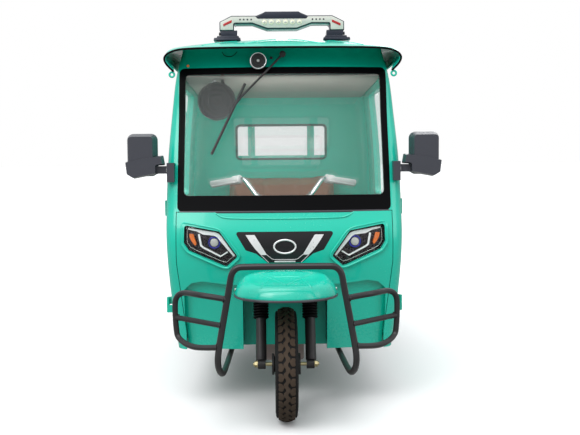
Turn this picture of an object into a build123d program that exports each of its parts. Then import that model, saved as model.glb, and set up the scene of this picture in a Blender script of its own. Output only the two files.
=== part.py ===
"""Electric cargo tricycle with a closed cab, one steered front wheel and a drop-side bed."""

import os
from math import atan2, cos, pi, radians, sin, sqrt, tan

from build123d import *

os.makedirs("parts", exist_ok=True)

# ---------------------------------------------------------------------------
# Driving dimensions, in millimetres and degrees.
# +X is the vehicle's left, the front faces -Y and +Z is up. The origin is on the
# ground under the middle of the whole vehicle.
# ---------------------------------------------------------------------------
front_reach = 330.0          # front axle to the foremost pipe of the bumper
wheelbase = 2150.0
rear_reach = 680.0           # rear axle to the closed tailgate's hinge
fit_gap = 0.3                # between pieces that move on each other or only just meet
panel_gap = 3.0              # shut line between fixed panels
door_gap = 6.0               # shut line round a door or a bed board

# wheels, 3.75-12
tyre_radius = 243.0
tyre_width = 96.0
rim_radius = 152.0
rear_track = 950.0

# steering
rake = 22.0                  # steering axis, leaning back from upright
axis_trail = 35.0            # steering axis behind the front axle, square to the axis
leg_spacing = 214.0
slider_radius = 23.0
stanchion_radius = 17.0
boot_radius = 34.0
fork_length = 398.0          # along the leg, axle to the top of the yoke
stem_radius = 25.0
head_tube_wall = 7.0
front_axle_radius = 8.0

# cab body
cab_width = 1064.0
cab_bottom = 262.0
cab_top = 1700.0
waist_height = 880.0         # height where the cab is widest
side_bow_radius = 4550.0     # the cab's sides are one large arc from bottom to top
wall = 32.0                  # thickness of doors, pillars and walls
nose_bottom_back = 170.0     # panel's foot behind the front axle
screen_foot_back = 142.0     # screen's foot behind the front axle, on the centre line
screen_foot_height = 890.0
screen_rake = 14.0
screen_top_height = 1540.0
nose_bulge = 42.0
front_sag = 45.0             # how far the front's corners lie behind its middle
lower_corner = 50.0
upper_corner = 24.0
corner_draw_in = 0.3        # how much of an inset the corner arc gives up
rear_corner = 50.0
cab_back = 1270.0            # back wall's outside behind the front axle
fascia_half = 480.0
fascia_foot_half = 445.0
fascia_taper_height = 664.0
screen_half_foot = 478.0
screen_half_top = 473.0
border_side = 28.0
border_top = 30.0
border_foot = 70.0
glass_thickness = 5.0

# wheel well
well_half = 190.0
well_arch_top = 625.0
well_roof = 655.0
well_back = 300.0            # behind the front axle
well_skin = 5.0
scoop_depth = 28.0

# doors
door_front = 330.0           # door's front edge behind the front axle
door_rear = 1010.0
door_bottom = 305.0
door_top = 1520.0
door_window_foot = 940.0
door_frame = 62.0
hinge_stand_off = 10.0
hinge_radius = 7.0

# roof
roof_half = 527.5
roof_front = 205.0           # brim's edge behind the front axle
roof_rear = 1320.0
roof_skirt_bottom = 1545.0
roof_tuck = 22.0             # the skirt's foot is drawn in by this
roof_tuck_top = 1570.0
roof_brim_bottom = 1608.0
roof_crown = 1708.0
roof_skin = 22.0

# cab floor and seat
floor_top = 312.0
floor_plate = 12.0
seat_front = 640.0
seat_rear = 1095.0
seat_half = 420.0
seat_box_top = 640.0
cushion_thickness = 95.0
back_half = 300.0
back_top = 1040.0
back_foot = 790.0
back_thickness = 80.0

# bumper
bumper_pipe_radius = 12.5

# chassis and rear axle
rail_half = 300.0
rail_size = 50.0
rail_high = 470.0            # underside of the rails under the bed
axle_tube_radius = 34.0
spring_length = 760.0
leaf_width = 44.0

# bed
bed_half = 550.0
bed_front = 1335.0           # behind the front axle
bed_floor_top = 600.0
bed_floor_depth = 80.0
board_height = 300.0
board_thickness = 25.0
board_hinge_radius = 7.0
guard_height = 1400.0

# ---------------------------------------------------------------------------
# Places that follow from them
# ---------------------------------------------------------------------------
axle_y = front_reach - (front_reach + wheelbase + rear_reach) / 2
rear_axle_y = axle_y + wheelbase
tail_y = rear_axle_y + rear_reach
rail_low = floor_top - floor_plate - rail_size      # underside of the rails under the cab
far = 4000.0                 # longer than any panel, for cuts that go right through
axis_y = axle_y + axis_trail / cos(radians(rake))   # steering axis at the axle's height


def write(part, name):
    part.label = name
    export_step(part, f"parts/{name}.step")


# a plane that faces forward: its x is +X and its y is +Z
def front_plane(y):
    return Plane(origin=(0, y, 0), x_dir=(1, 0, 0), z_dir=(0, -1, 0))


# a plane that faces left: its x is +Y and its y is +Z
def side_plane(x):
    return Plane(origin=(x, 0, 0), x_dir=(0, 1, 0), z_dir=(1, 0, 0))


# a prism whose rounded outline is drawn from the front, between two distances back
def front_block(points, radius, y_front, y_rear):
    with BuildPart() as block:
        with BuildSketch(front_plane(y_rear)) as face:
            with BuildLine():
                Polyline(*points, close=True)
            make_face()
            if radius > 0:
                fillet(face.vertices(), radius)
        extrude(amount=y_rear - y_front)
    return block.part


# the same, drawn from the side, between two distances out
def side_block(points, radius, x_low, x_high):
    with BuildPart() as block:
        with BuildSketch(side_plane(x_low)) as face:
            with BuildLine():
                Polyline(*points, close=True)
            make_face()
            if radius > 0:
                fillet(face.vertices(), radius)
        extrude(amount=x_high - x_low)
    return block.part


# a round pipe along straight runs joined by arcs
def pipe(points, bends, radius):
    with BuildPart() as tube:
        with BuildLine() as run:
            FilletPolyline(*points, radius=bends)
        with BuildSketch(Plane(origin=run.line @ 0, z_dir=run.line % 0)):
            Circle(radius)
        sweep()
    return tube.part


# a round bar between two points
def rod(start, end, radius):
    axis = Vector(*end) - Vector(*start)
    with BuildPart() as bar:
        with BuildSketch(Plane(origin=start, z_dir=axis)):
            Circle(radius)
        extrude(amount=axis.length)
    return bar.part


def flipped(x_points):
    return [(-x, z) for x, z in x_points]


def both_ways(half_points):
    """A closed outline from its right half, listed from the bottom up."""
    return list(half_points) + [(-x, z) for x, z in reversed(half_points)]


# ---------------------------------------------------------------------------
# Cab form: every outer and inner face of the cab comes from this one body
# ---------------------------------------------------------------------------
def half_width(z):
    bow = side_bow_radius - sqrt(side_bow_radius ** 2 - (z - waist_height) ** 2)
    return cab_width / 2 - bow


def nose_y(z):
    if z >= screen_foot_height:
        lean = (z - screen_foot_height) * tan(radians(screen_rake))
        return axle_y + screen_foot_back + lean
    rise = (z - cab_bottom) / (screen_foot_height - cab_bottom)
    straight = nose_bottom_back + (screen_foot_back - nose_bottom_back) * rise
    return axle_y + straight - nose_bulge * sin(pi * rise ** 2)


def corner_depth(z):
    if z <= screen_foot_height:
        return lower_corner
    rise = (z - screen_foot_height) / (screen_top_height - screen_foot_height)
    return lower_corner + (upper_corner - lower_corner) * min(rise, 1)


# the front's surface on the outside, at a distance from the centre line and a height
def front_y(x, z):
    half_chord = half_width(z) - corner_depth(z)
    return nose_y(z) + front_sag * (x / half_chord) ** 2


form_heights = [cab_bottom, 400.0, 520.0, 620.0, 713.0, 800.0, screen_foot_height,
                1000.0, 1180.0, 1360.0, screen_top_height, cab_top]


def cab_form(inset):
    """The cab's closed body, set in by a distance from its outside."""
    with BuildPart() as form:
        for z in form_heights:
            half = half_width(z) - inset
            front = nose_y(z) + inset
            corner = corner_depth(z) - inset * corner_draw_in
            bend = rear_corner - inset / 2
            rear = axle_y + cab_back - inset
            turn = 2 * atan2(front_sag, half - corner)
            start = (half - corner, front + front_sag)
            end = (half, front + front_sag + corner * (tan(turn) + 1 / cos(turn)))
            with BuildSketch(Plane.XY.offset(z)):
                with BuildLine():
                    ThreePointArc((-start[0], start[1]), (0, front), start)
                    TangentArc(start, end, tangent=(cos(turn), sin(turn)))
                    Line(end, (half, rear - bend))
                    TangentArc((half, rear - bend), (half - bend, rear), tangent=(0, 1))
                    Line((half - bend, rear), (bend - half, rear))
                    TangentArc((bend - half, rear), (-half, rear - bend), tangent=(-1, 0))
                    Line((-half, rear - bend), (-end[0], end[1]))
                    TangentArc((-end[0], end[1]), (-start[0], start[1]), tangent=(0, -1))
                make_face()
        loft()
    return form.part


def cab_layer(outer, inner):
    """The layer of the cab's surface between two insets."""
    return cab_form(outer) - cab_form(inner)


cab_outside = cab_form(0)
cab_inside = cab_form(wall)
cab_clear = cab_form(wall + fit_gap)      # what is fitted inside keeps to this
cab_shell = cab_outside - cab_inside
cab_front = axle_y - 100                  # ahead of every front panel
front_depth = axle_y + 380                # behind every front panel, its drawn-in corners too

# panel outlines, as right halves from the bottom up
fascia_edge = [(fascia_foot_half, cab_bottom - 10), (fascia_foot_half, 340), (fascia_half, fascia_taper_height),
               (fascia_half, screen_foot_height - panel_gap)]
screen_edge = [(screen_half_foot, screen_foot_height), (screen_half_top, screen_top_height)]
clear_edge = [(screen_half_foot - border_side, screen_foot_height + border_foot),
              (screen_half_top - border_side, screen_top_height - border_top)]
screen_block = front_block(both_ways(screen_edge), 24, cab_front, front_depth)
clear_block = front_block(both_ways(clear_edge), 22, cab_front, front_depth)
fascia_block = front_block(both_ways(fascia_edge), 0, cab_front, axle_y + 300)
fascia_gap_edge = [(x + panel_gap, z) for x, z in fascia_edge[:-1]] + [(fascia_half + panel_gap, screen_foot_height)]
fascia_gap_block = front_block(both_ways(fascia_gap_edge), 0, cab_front, axle_y + 300)


def arch_block(half, foot, top, shoulder, y_front, y_rear):
    with BuildPart() as block:
        with BuildSketch(front_plane(y_rear)) as face:
            with BuildLine():
                Polyline((half, foot), (half, top), (-half, top), (-half, foot), close=True)
            make_face()
            fillet(face.vertices().group_by(Axis.Z)[-1], shoulder)
        extrude(amount=y_rear - y_front)
    return block.part


well_opening = arch_block(well_half, cab_bottom - 60, well_arch_top, 70, cab_front, axle_y + well_back)

# --- front fascia: nose panel with lamp openings, wheel arch and scooped lower corners ---
lamp_outline = [(446, 754), (424, 721), (258, 649), (207, 695), (287, 805), (444, 833)]
lamp_lip = 14.0
lamp_depth = 60.0
trim_edge = [(76, 667), (125, 706), (172, 722), (220, 803)]
scoop_outline = [(452, 200), (452, 540), (417, 572), (370, 581), (266, 569), (150, 560), (150, 200)]
cowl_outline = [(272, 862), (331, 900)]
cowl_step = 4.0


def lamp_block(side, grow):
    points = [(side * x, z) for x, z in lamp_outline]
    with BuildPart() as block:
        with BuildSketch(front_plane(axle_y + 290)) as face:
            with BuildLine():
                Polyline(*points, close=True)
            make_face()
            fillet(face.vertices(), 12)
            if grow:
                offset(amount=grow)
        extrude(amount=axle_y + 290 - cab_front)
    return block.part


lamp_blocks = [lamp_block(side, 0) for side in (1, -1)]
lamp_lip_blocks = [lamp_block(side, lamp_lip) for side in (1, -1)]
trim_block = front_block(both_ways(trim_edge), 10, cab_front, axle_y + 190)
scoop_blocks = [front_block(scoop_outline, 12, cab_front, axle_y + 290),
                front_block(flipped(scoop_outline), 12, cab_front, axle_y + 290)]
lip_layer = cab_layer(-6, 2)
scoop_layer = cab_layer(scoop_depth, scoop_depth + wall)
scoop_waste = cab_form(-2) - cab_form(scoop_depth)

with BuildPart() as front_fascia:
    add(cab_shell)
    add(fascia_block, mode=Mode.INTERSECT)
    for cutter in scoop_blocks:
        add(scoop_waste & cutter, mode=Mode.SUBTRACT)
        add(scoop_layer & cutter & fascia_block)
    for lip in lamp_lip_blocks:
        add(lip_layer & lip)
    for hole in lamp_blocks:
        add(hole, mode=Mode.SUBTRACT)
    add(well_opening, mode=Mode.SUBTRACT)
    add((cab_form(-2) - cab_form(cowl_step)) & front_block(both_ways(cowl_outline), 0, cab_front, axle_y + 290),
        mode=Mode.SUBTRACT)
    add((cab_form(-2) - cab_form(6)) & trim_block, mode=Mode.SUBTRACT)
write(front_fascia.part, "front_fascia")

# --- nose trim: dark panel set into the fascia, with a dished oval ---
ring_height = 737.0
ring_half_width = 53.0
ring_half_height = 34.0
ring_wall = 8.0


def oval_block(grow):
    with BuildPart() as block:
        with BuildSketch(front_plane(axle_y + 190)):
            with Locations((0, ring_height)):
                Ellipse(ring_half_width + grow, ring_half_height + grow)
        extrude(amount=axle_y + 190 - cab_front)
    return block.part


strip_outline = [(76, 671), (92, 703), (139, 787), (179, 787), (121, 703)]
strip_blocks = [front_block(strip_outline, 1.5, cab_front, axle_y + 190),
                front_block(flipped(strip_outline), 1.5, cab_front, axle_y + 190)]
bottom_strip = front_block([(62, 675), (62, 680), (-62, 680), (-62, 675)], 0, cab_front, axle_y + 190)

with BuildPart() as nose_trim:
    add(cab_layer(1, 6) & trim_block)
    add((cab_form(-2) - cab_form(4)) & oval_block(-ring_wall), mode=Mode.SUBTRACT)
    for cutter in strip_blocks + [bottom_strip]:
        add((cab_form(-2) - cab_form(2)) & cutter, mode=Mode.SUBTRACT)
    add((cab_form(-2) - cab_form(2)) & (oval_block(0) - oval_block(-ring_wall)), mode=Mode.SUBTRACT)
write(nose_trim.part, "nose_trim")

with BuildPart() as nose_chrome:
    raised = cab_layer(-3, 2)
    for cutter in strip_blocks + [bottom_strip]:
        add(raised & cutter)
    add(cab_layer(-5, 2) & (oval_block(0) - oval_block(-ring_wall)))
write(nose_chrome.part, "nose_chrome")

# --- headlamps: dark bowls behind the fascia, each closed by a flush lens ---
lamp_bowl = cab_form(12) - cab_form(lamp_depth)
with BuildPart() as headlamp_housings:
    for side, hole in zip((1, -1), lamp_blocks):
        bowl = lamp_bowl & hole
        hollow = (cab_form(10) - cab_form(lamp_depth - 6)) & lamp_block(side, -5)
        add(bowl - hollow)
    for side in (1, -1):
        x, z = side * 313, 752
        y = front_y(x, z)
        add(rod((x, y + 18, z), (x, y + lamp_depth + 16, z), 24) & lamp_block(side, -1))
write(headlamp_housings.part, "headlamp_housings")

with BuildPart() as headlamp_lenses:
    for side in (1, -1):
        add(cab_layer(1, 6) & lamp_block(side, -fit_gap))
write(headlamp_lenses.part, "headlamp_lenses")

# --- cab glass and seals ---
rear_window_half = 260.0
rear_window_foot = 1118.0
rear_window_top = 1322.0
rear_window_corner = 28.0


def rear_window_block(grow):
    points = [(rear_window_half + grow, rear_window_foot - grow), (rear_window_half + grow, rear_window_top + grow)]
    return front_block(both_ways(points), rear_window_corner + grow, axle_y + cab_back - 2 * wall, axle_y + cab_back + 40)


rear_seal_width = 12.0
with BuildPart() as cab_glass:
    add(cab_layer(3, 3 + glass_thickness) & clear_block)
    add(cab_layer(wall / 2 - glass_thickness / 2, wall / 2 + glass_thickness / 2)
        & rear_window_block(-rear_seal_width))
write(cab_glass.part, "cab_glass")

seal_layer = cab_layer(1, 24)
with BuildPart() as window_seals:
    add((seal_layer & screen_block) - clear_block)
    add((cab_layer(-3, wall + 3) & rear_window_block(0)) - rear_window_block(-rear_seal_width))
write(window_seals.part, "window_seals")

# --- doors ---
door_outline = [(axle_y + door_front, door_bottom), (axle_y + door_front, 1000),
                (axle_y + door_front + 90, door_top), (axle_y + door_rear, door_top), (axle_y + door_rear, door_bottom)]
door_corner = 30.0


def door_block(side, grow):
    with BuildPart() as block:
        with BuildSketch(side_plane(0)) as face:
            with BuildLine():
                Polyline(*door_outline, close=True)
            make_face()
            fillet(face.vertices(), door_corner)
            if grow:
                offset(amount=grow)
        extrude(amount=side * far)
    return block.part


door_window = [(axle_y + door_front + door_frame, door_window_foot), (axle_y + door_front + door_frame, 1010),
               (axle_y + door_front + 90 + 48, door_top - door_frame),
               (axle_y + door_rear - door_frame, door_top - door_frame),
               (axle_y + door_rear - door_frame, door_window_foot)]


def door_window_block(side, grow):
    with BuildPart() as block:
        with BuildSketch(side_plane(0)) as face:
            with BuildLine():
                Polyline(*door_window, close=True)
            make_face()
            fillet(face.vertices(), 36)
            if grow:
                offset(amount=grow)
        extrude(amount=side * far)
    return block.part


hinge_x = cab_width / 2 + hinge_stand_off
hinge_y = axle_y + door_front - 4
hinge_heights = (450.0, 900.0)
hinge_length = 70.0


def hinge_leaf(side, z, length, toward):
    """A barrel on the hinge line with a leaf that reaches in to the cab's side."""
    with BuildPart() as leaf:
        with BuildSketch(Plane.XY.offset(z - length / 2)):
            with Locations((side * hinge_x, hinge_y)):
                Circle(hinge_radius)
            with Locations((side * (hinge_x - 25), hinge_y + toward * 14)):
                Rectangle(52, 6)
            with Locations((side * hinge_x, hinge_y + toward * 8)):
                Rectangle(6, 14)
        extrude(amount=length)
    return leaf.part


for side, name in ((1, "left"), (-1, "right")):
    with BuildPart() as door:
        add(cab_shell & door_block(side, 0))
        add((cab_form(-2) - cab_form(4)) & side_block(
            [(axle_y + door_front + 50, 360), (axle_y + door_front + 50, 820), (axle_y + door_rear - 50, 820),
             (axle_y + door_rear - 50, 360)], 40, *sorted((side * 300, side * 700))), mode=Mode.SUBTRACT)
        add(door_window_block(side, 0), mode=Mode.SUBTRACT)
        for z in hinge_heights:
            add(hinge_leaf(side, z + hinge_length / 4 + fit_gap / 2, hinge_length / 2 - fit_gap, 1) - cab_form(4))
    write(door.part, f"door_{name}")
    with BuildPart() as pane:
        add(cab_layer(10, 10 + glass_thickness) & door_window_block(side, -fit_gap))
    write(pane.part, f"door_{name}_glass")

# --- roof: a crowned shell with a brim ---

def roof_form(inset):
    """The roof's dome: an arch seen from the front, trimmed to its shape seen from the side."""
    half = roof_half - inset
    front = axle_y + roof_front + inset
    rear = axle_y + roof_rear - inset
    low = roof_skirt_bottom - 20
    with BuildPart() as dome:
        with BuildSketch(front_plane(rear)) as arch:
            with BuildLine():
                Polyline((half - roof_tuck, low), (half - roof_tuck, roof_skirt_bottom), (half, roof_tuck_top),
                         (half, 1600 - inset / 2))
                ThreePointArc((half, 1600 - inset / 2), (half - 18, 1646 - inset), (half - 70, 1668 - inset))
                ThreePointArc((half - 70, 1668 - inset), (0, roof_crown - inset), (70 - half, 1668 - inset))
                ThreePointArc((70 - half, 1668 - inset), (18 - half, 1646 - inset), (-half, 1600 - inset / 2))
                Polyline((-half, 1600 - inset / 2), (-half, roof_tuck_top), (roof_tuck - half, roof_skirt_bottom),
                         (roof_tuck - half, low), (half - roof_tuck, low))
            make_face()
        extrude(amount=rear - front)
        with BuildSketch(side_plane(-half)) as profile:
            with BuildLine():
                Line((front, low), (rear, low))
                Line((rear, low), (rear, 1640 - inset))
                ThreePointArc((rear, 1640 - inset), (rear - 30, 1672 - inset), (rear - 80, 1684 - inset))
                ThreePointArc((rear - 80, 1684 - inset), (axle_y + 760, roof_crown - inset), (front + 150, 1668 - inset))
                ThreePointArc((front + 150, 1668 - inset), (front + 50, 1643 - inset), (front, 1618 - inset / 2))
                Line((front, 1618 - inset / 2), (front, low))
            make_face()
        extrude(amount=2 * half, mode=Mode.INTERSECT)
    return dome.part


roof_outside = roof_form(0)
roof_inside = roof_form(roof_skin)
brim_side = roof_half - roof_skin - 14
brim_cut = both_ways([(brim_side, roof_skirt_bottom - 40), (brim_side, roof_skirt_bottom + 10), (455, roof_brim_bottom)])
with BuildPart() as roof_panel:
    add(roof_outside)
    add(roof_inside, mode=Mode.SUBTRACT)
    with BuildSketch(Plane.XY.offset(roof_skirt_bottom - 60)):
        with Locations((0, axle_y + (roof_front + roof_rear) / 2)):
            Rectangle(3 * roof_half, 2 * (roof_rear - roof_front))
    extrude(amount=60, mode=Mode.SUBTRACT)
    add(front_block(brim_cut, 20, axle_y + roof_front - 10, axle_y + roof_front + roof_skin + 30), mode=Mode.SUBTRACT)
write(roof_panel.part, "roof_panel")

# --- cab frame: posts, header, rails over the doors and the rear corners ---
back_panel_half = 440.0
back_panel_top = 1560.0


def back_panel_block(grow, foot):
    points = [(back_panel_half + grow, foot), (back_panel_half + grow, back_panel_top + grow)]
    return front_block(both_ways(points), 0, axle_y + cab_back - wall - 8, axle_y + cab_back + 20)


lower_cab = front_block(both_ways([(700, cab_bottom - 5), (700, roof_skirt_bottom - 15)]), 0,
                        cab_front, axle_y + cab_back + 50)
with BuildPart() as cab_frame:
    add(cab_shell & lower_cab)
    add(cab_shell & roof_form(roof_skin + fit_gap))
    add(fascia_gap_block, mode=Mode.SUBTRACT)
    add(screen_block, mode=Mode.SUBTRACT)
    for side in (1, -1):
        add(door_block(side, door_gap), mode=Mode.SUBTRACT)
    add(back_panel_block(fit_gap, cab_bottom - 10), mode=Mode.SUBTRACT)
    for side in (1, -1):
        for z in hinge_heights:
            add(hinge_leaf(side, z - hinge_length / 4, hinge_length / 2, -1) - cab_form(4))
write(cab_frame.part, "cab_frame")

# --- back wall with a pressed panel and the window ---
with BuildPart() as cab_back_wall:
    add(cab_shell & back_panel_block(0, floor_top - floor_plate))
    inner_face = axle_y + cab_back - wall
    add(front_block(both_ways([(400, 700), (400, 1400)]), 30, inner_face - 1, inner_face + 5), mode=Mode.SUBTRACT)
    add(front_block(both_ways([(rear_window_half + 34, rear_window_foot - 34), (rear_window_half + 34, rear_window_top + 34)]),
                    50, inner_face, inner_face + 6))
    add(rear_window_block(0), mode=Mode.SUBTRACT)
write(cab_back_wall.part, "cab_back")

# --- cab floor with the wall behind the wheel ---
scoop_backs = [block - cab_form(scoop_depth + wall + fit_gap) for block in scoop_blocks]
floor_front_wall = 6.0
with BuildPart() as cab_floor:
    floor_plan = arch_block(well_half + well_skin + fit_gap, cab_bottom - 60, well_roof + well_skin, 40,
                            cab_front, axle_y + well_back)
    with BuildSketch(Plane.XY.offset(floor_top - floor_plate)):
        with Locations((0, axle_y + cab_back / 2)):
            Rectangle(2 * cab_width, 2 * cab_back)
    extrude(amount=floor_plate)
    add(cab_clear, mode=Mode.INTERSECT)
    add(floor_plan, mode=Mode.SUBTRACT)
    for cutter in scoop_backs:
        add(cutter, mode=Mode.SUBTRACT)
    with BuildSketch(Plane.XY.offset(cab_bottom)):
        with Locations((0, axle_y + well_back + floor_front_wall / 2)):
            Rectangle(2 * (well_half + well_skin), floor_front_wall)
    extrude(amount=well_roof + well_skin - cab_bottom)
    for side in (1, -1):
        with Locations((side * 42, axle_y + 418, floor_top)):
            Cylinder(19, 60, mode=Mode.SUBTRACT)
write(cab_floor.part, "cab_floor")


# a point on the steering axis, or on the line of a fork leg, a distance along it
def on_axis(height):
    return (0, axis_y + (height - tyre_radius) * tan(radians(rake)), height)


def on_leg(side, along):
    return (side * leg_spacing / 2, axle_y + along * sin(radians(rake)), tyre_radius + along * cos(radians(rake)))


head_low = 668.0
head_high = 850.0
head_bore = stem_radius + fit_gap
head_radius = head_bore + head_tube_wall

# --- wheel well liner ---
with BuildPart() as wheel_well:
    outer = arch_block(well_half + well_skin, cab_bottom, well_roof + well_skin, 45, cab_front, axle_y + well_back)
    inner = arch_block(well_half, cab_bottom - 50, well_roof, 40, cab_front - 5, axle_y + well_back + 5)
    add(outer & cab_clear)
    for cutter in scoop_backs:
        add(cutter, mode=Mode.SUBTRACT)
    add(inner, mode=Mode.SUBTRACT)
    add(rod(on_axis(600), on_axis(760), head_radius + 8), mode=Mode.SUBTRACT)
write(wheel_well.part, "wheel_well")

# --- chassis: two stepped rails, cross members, head tube and its down tubes ---
rail_front = axle_y + well_back + 30
rail_end = tail_y - 45
step_start = axle_y + cab_back + 20
step_end = axle_y + cab_back + 160
with BuildPart() as chassis_frame:
    for side in (1, -1):
        with BuildSketch(side_plane(side * rail_half - rail_size / 2)):
            with BuildLine():
                Polyline((rail_front, rail_low), (step_start + 20, rail_low), (step_end + 20, rail_high),
                         (rail_end, rail_high), (rail_end, rail_high + rail_size),
                         (step_end - 5, rail_high + rail_size), (step_start - 5, rail_low + rail_size),
                         (rail_front, rail_low + rail_size), close=True)
            make_face()
        extrude(amount=rail_size)
    for y in (rail_front + 25, axle_y + 700, step_start - 90):
        with Locations((0, y, rail_low + rail_size / 2)):
            Box(2 * rail_half, 40, 40)
    for y, half in ((step_end + 60, bed_half - 30), (rear_axle_y - 400, bed_half - 30), (rear_axle_y, rail_half),
                    (rear_axle_y + 350, bed_half - 30), (rail_end - 20, bed_half - 30)):
        with Locations((0, y, rail_high + 27)):
            Box(2 * half, 40, 46)
    for side in (1, -1):
        add(pipe([(side * 26, on_axis(780)[1] + 30, 780), (side * 34, axle_y + 392, 560),
                  (side * 42, axle_y + 418, rail_low + 40)], [120], 16))
        add(pipe([(side * 42, axle_y + 418, 300), (side * 42, axle_y + 418, rail_low + 30),
                  (side * 42, axle_y + 345, rail_low + 22)], [12], 15))
    add(rod(on_axis(head_low), on_axis(head_high), head_radius))
    add(rod(on_axis(head_low - 60), on_axis(head_high + 60), head_bore), mode=Mode.SUBTRACT)
write(chassis_frame.part, "chassis_frame")

# --- steering: stem, lower yoke, fender stays and bar clamp in one weldment ---
yoke_along = fork_length - 22
axis_dir = Vector(0, sin(radians(rake)), cos(radians(rake)))
yoke_height = tyre_radius + yoke_along * cos(radians(rake)) - axis_trail * sin(radians(rake))
yoke_plane = Plane(origin=on_axis(yoke_height), x_dir=(1, 0, 0), z_dir=axis_dir)
clamp_height = 905.0


# --- front fender: a domed shell carried by the fork ---
fender_front = 280.0
fender_rear = 40.0
fender_half = 212.0
fender_rim = 562.0
fender_skin = 4.0


def fender_outline(half, front, rear, z):
    """Plan outline of the fender: a round nose, widest past the middle, drawn in at the rear."""
    length = rear - front
    with BuildSketch(Plane.XY.offset(z)) as face:
        with BuildLine():
            right = Spline((0, front), (0.66 * half, front + 0.09 * length), (0.95 * half, front + 0.30 * length),
                           (half, front + 0.54 * length), (0.84 * half, front + 0.84 * length),
                           (0.52 * half, rear), tangents=[(1, 0), (-1, 0.25)])
            Spline((0, front), (-0.66 * half, front + 0.09 * length), (-0.95 * half, front + 0.30 * length),
                   (-half, front + 0.54 * length), (-0.84 * half, front + 0.84 * length),
                   (-0.52 * half, rear), tangents=[(-1, 0), (1, 0.25)])
            Line((0.52 * half, rear), (-0.52 * half, rear))
        make_face()
    return face


def fender_form(inset):
    front = axle_y - fender_front + inset
    rear = axle_y + fender_rear - inset
    with BuildPart() as dome:
        fender_sections = ((0, 0, 0, fender_rim if inset == 0 else fender_rim - 40), (10, 10, 3, fender_rim + 48),
                           (48, 62, 12, fender_rim + 78), (104, 130, 40, fender_rim + 90))
        for side_in, front_in, rear_in, z in fender_sections:
            add(fender_outline(fender_half - inset - side_in, front + front_in, rear - rear_in,
                               z - (inset if z > fender_rim else 0)).sketch)
        loft()
    return dome.part


fender_outside = fender_form(0)
fender_cavity = fender_form(fender_skin)
with BuildPart() as front_fender:
    add(fender_outside)
    add(fender_cavity, mode=Mode.SUBTRACT)
write(front_fender.part, "front_fender")

with BuildPart() as fender_edge:
    edge_low = fender_rim - 8
    with BuildSketch() as ring:
        add(fender_outline(fender_half + 5, axle_y - fender_front - 5, axle_y + fender_rear + 5, 0).sketch)
        add(fender_outline(fender_half - 5, axle_y - fender_front + 5, axle_y + fender_rear - 5, 0).sketch,
            mode=Mode.SUBTRACT)
    extrude(amount=8)
    add(Part() + fender_edge.part.moved(Location((0, 0, edge_low))), mode=Mode.REPLACE)
write(fender_edge.part, "fender_edge")


def box_between(low, high):
    """A box from its lowest corner to its highest."""
    with BuildPart() as block:
        with Locations([tuple((a + b) / 2 for a, b in zip(low, high))]):
            Box(*(b - a for a, b in zip(low, high)))
    return block.part


leg_rear = axle_y + yoke_along * sin(radians(rake))
fender_seat = axle_y + fender_rear + fit_gap
bar_centre = (0, on_axis(clamp_height)[1] + 6, clamp_height + 12)
bar_radius = 11.0
with BuildPart() as steering_stem:
    with BuildSketch(yoke_plane):
        with BuildLine():
            Polyline((-leg_spacing / 2, -axis_trail - 32), (leg_spacing / 2, -axis_trail - 32),
                     (leg_spacing / 2 + 30, -axis_trail - 10), (leg_spacing / 2 + 30, -axis_trail + 16), (60, 34),
                     (-60, 34), (-leg_spacing / 2 - 30, -axis_trail + 16), (-leg_spacing / 2 - 30, -axis_trail - 10),
                     close=True)
        make_face()
    extrude(amount=14, both=True)
    for side in (1, -1):
        add(rod(on_leg(side, yoke_along - 60), on_leg(side, yoke_along + 60), stanchion_radius), mode=Mode.SUBTRACT)
    add(rod(on_axis(yoke_height), on_axis(clamp_height), stem_radius))
    for side in (1, -1):
        add(box_between((side * 62 - 7, fender_seat, 572), (side * 62 + 7, leg_rear - 20, 600)))
        add(box_between((side * 62 - 22, fender_seat, 570), (side * 62 + 22, fender_seat + 4, 602)))
    add(box_between((-30, bar_centre[1] - 24, clamp_height - 14), (30, bar_centre[1] + 24, clamp_height + 30)))
    add(rod((-40, bar_centre[1], bar_centre[2]), (40, bar_centre[1], bar_centre[2]), bar_radius), mode=Mode.SUBTRACT)
write(steering_stem.part, "steering_stem")

lug_inner = leg_spacing / 2 - 19
lug_outer = leg_spacing / 2 + 14
boot_foot = 198.0
boot_head = 270.0
with BuildPart() as fork_legs:
    for side in (1, -1):
        add(rod(on_leg(side, 17), on_leg(side, boot_foot + 36), slider_radius))
        add(rod(on_leg(side, boot_foot + 30), on_leg(side, fork_length), stanchion_radius))
        add(rod((side * lug_inner, axle_y, tyre_radius), (side * lug_outer, axle_y, tyre_radius), 21))
        add(rod((side * (lug_inner - 5), axle_y, tyre_radius), (side * (lug_outer + 5), axle_y, tyre_radius),
                front_axle_radius), mode=Mode.SUBTRACT)
write(fork_legs.part, "fork_legs")

boot_ribs = 6
with BuildPart() as boot:
    pitch = (boot_head - boot_foot) / boot_ribs
    with BuildSketch(Plane.XZ):
        with BuildLine():
            edge = [(slider_radius, boot_foot)]
            for rib in range(boot_ribs):
                low = boot_foot + rib * pitch
                edge += [(boot_radius - 7, low), (boot_radius, low + pitch * 0.3), (boot_radius, low + pitch * 0.7),
                         (boot_radius - 7, low + pitch)]
            edge += [(stanchion_radius, boot_head), (stanchion_radius, boot_foot + 36), (slider_radius, boot_foot + 36)]
            cleaned = [edge[0]] + [b for a, b in zip(edge, edge[1:]) if a != b]
            Polyline(*cleaned, close=True)
        make_face()
    revolve(axis=Axis.Z)
with BuildPart() as fork_boots:
    for side in (1, -1):
        add(boot.part.moved(Plane(origin=on_leg(side, 0), x_dir=(1, 0, 0), z_dir=axis_dir).location))
write(fork_boots.part, "fork_boots")

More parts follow.
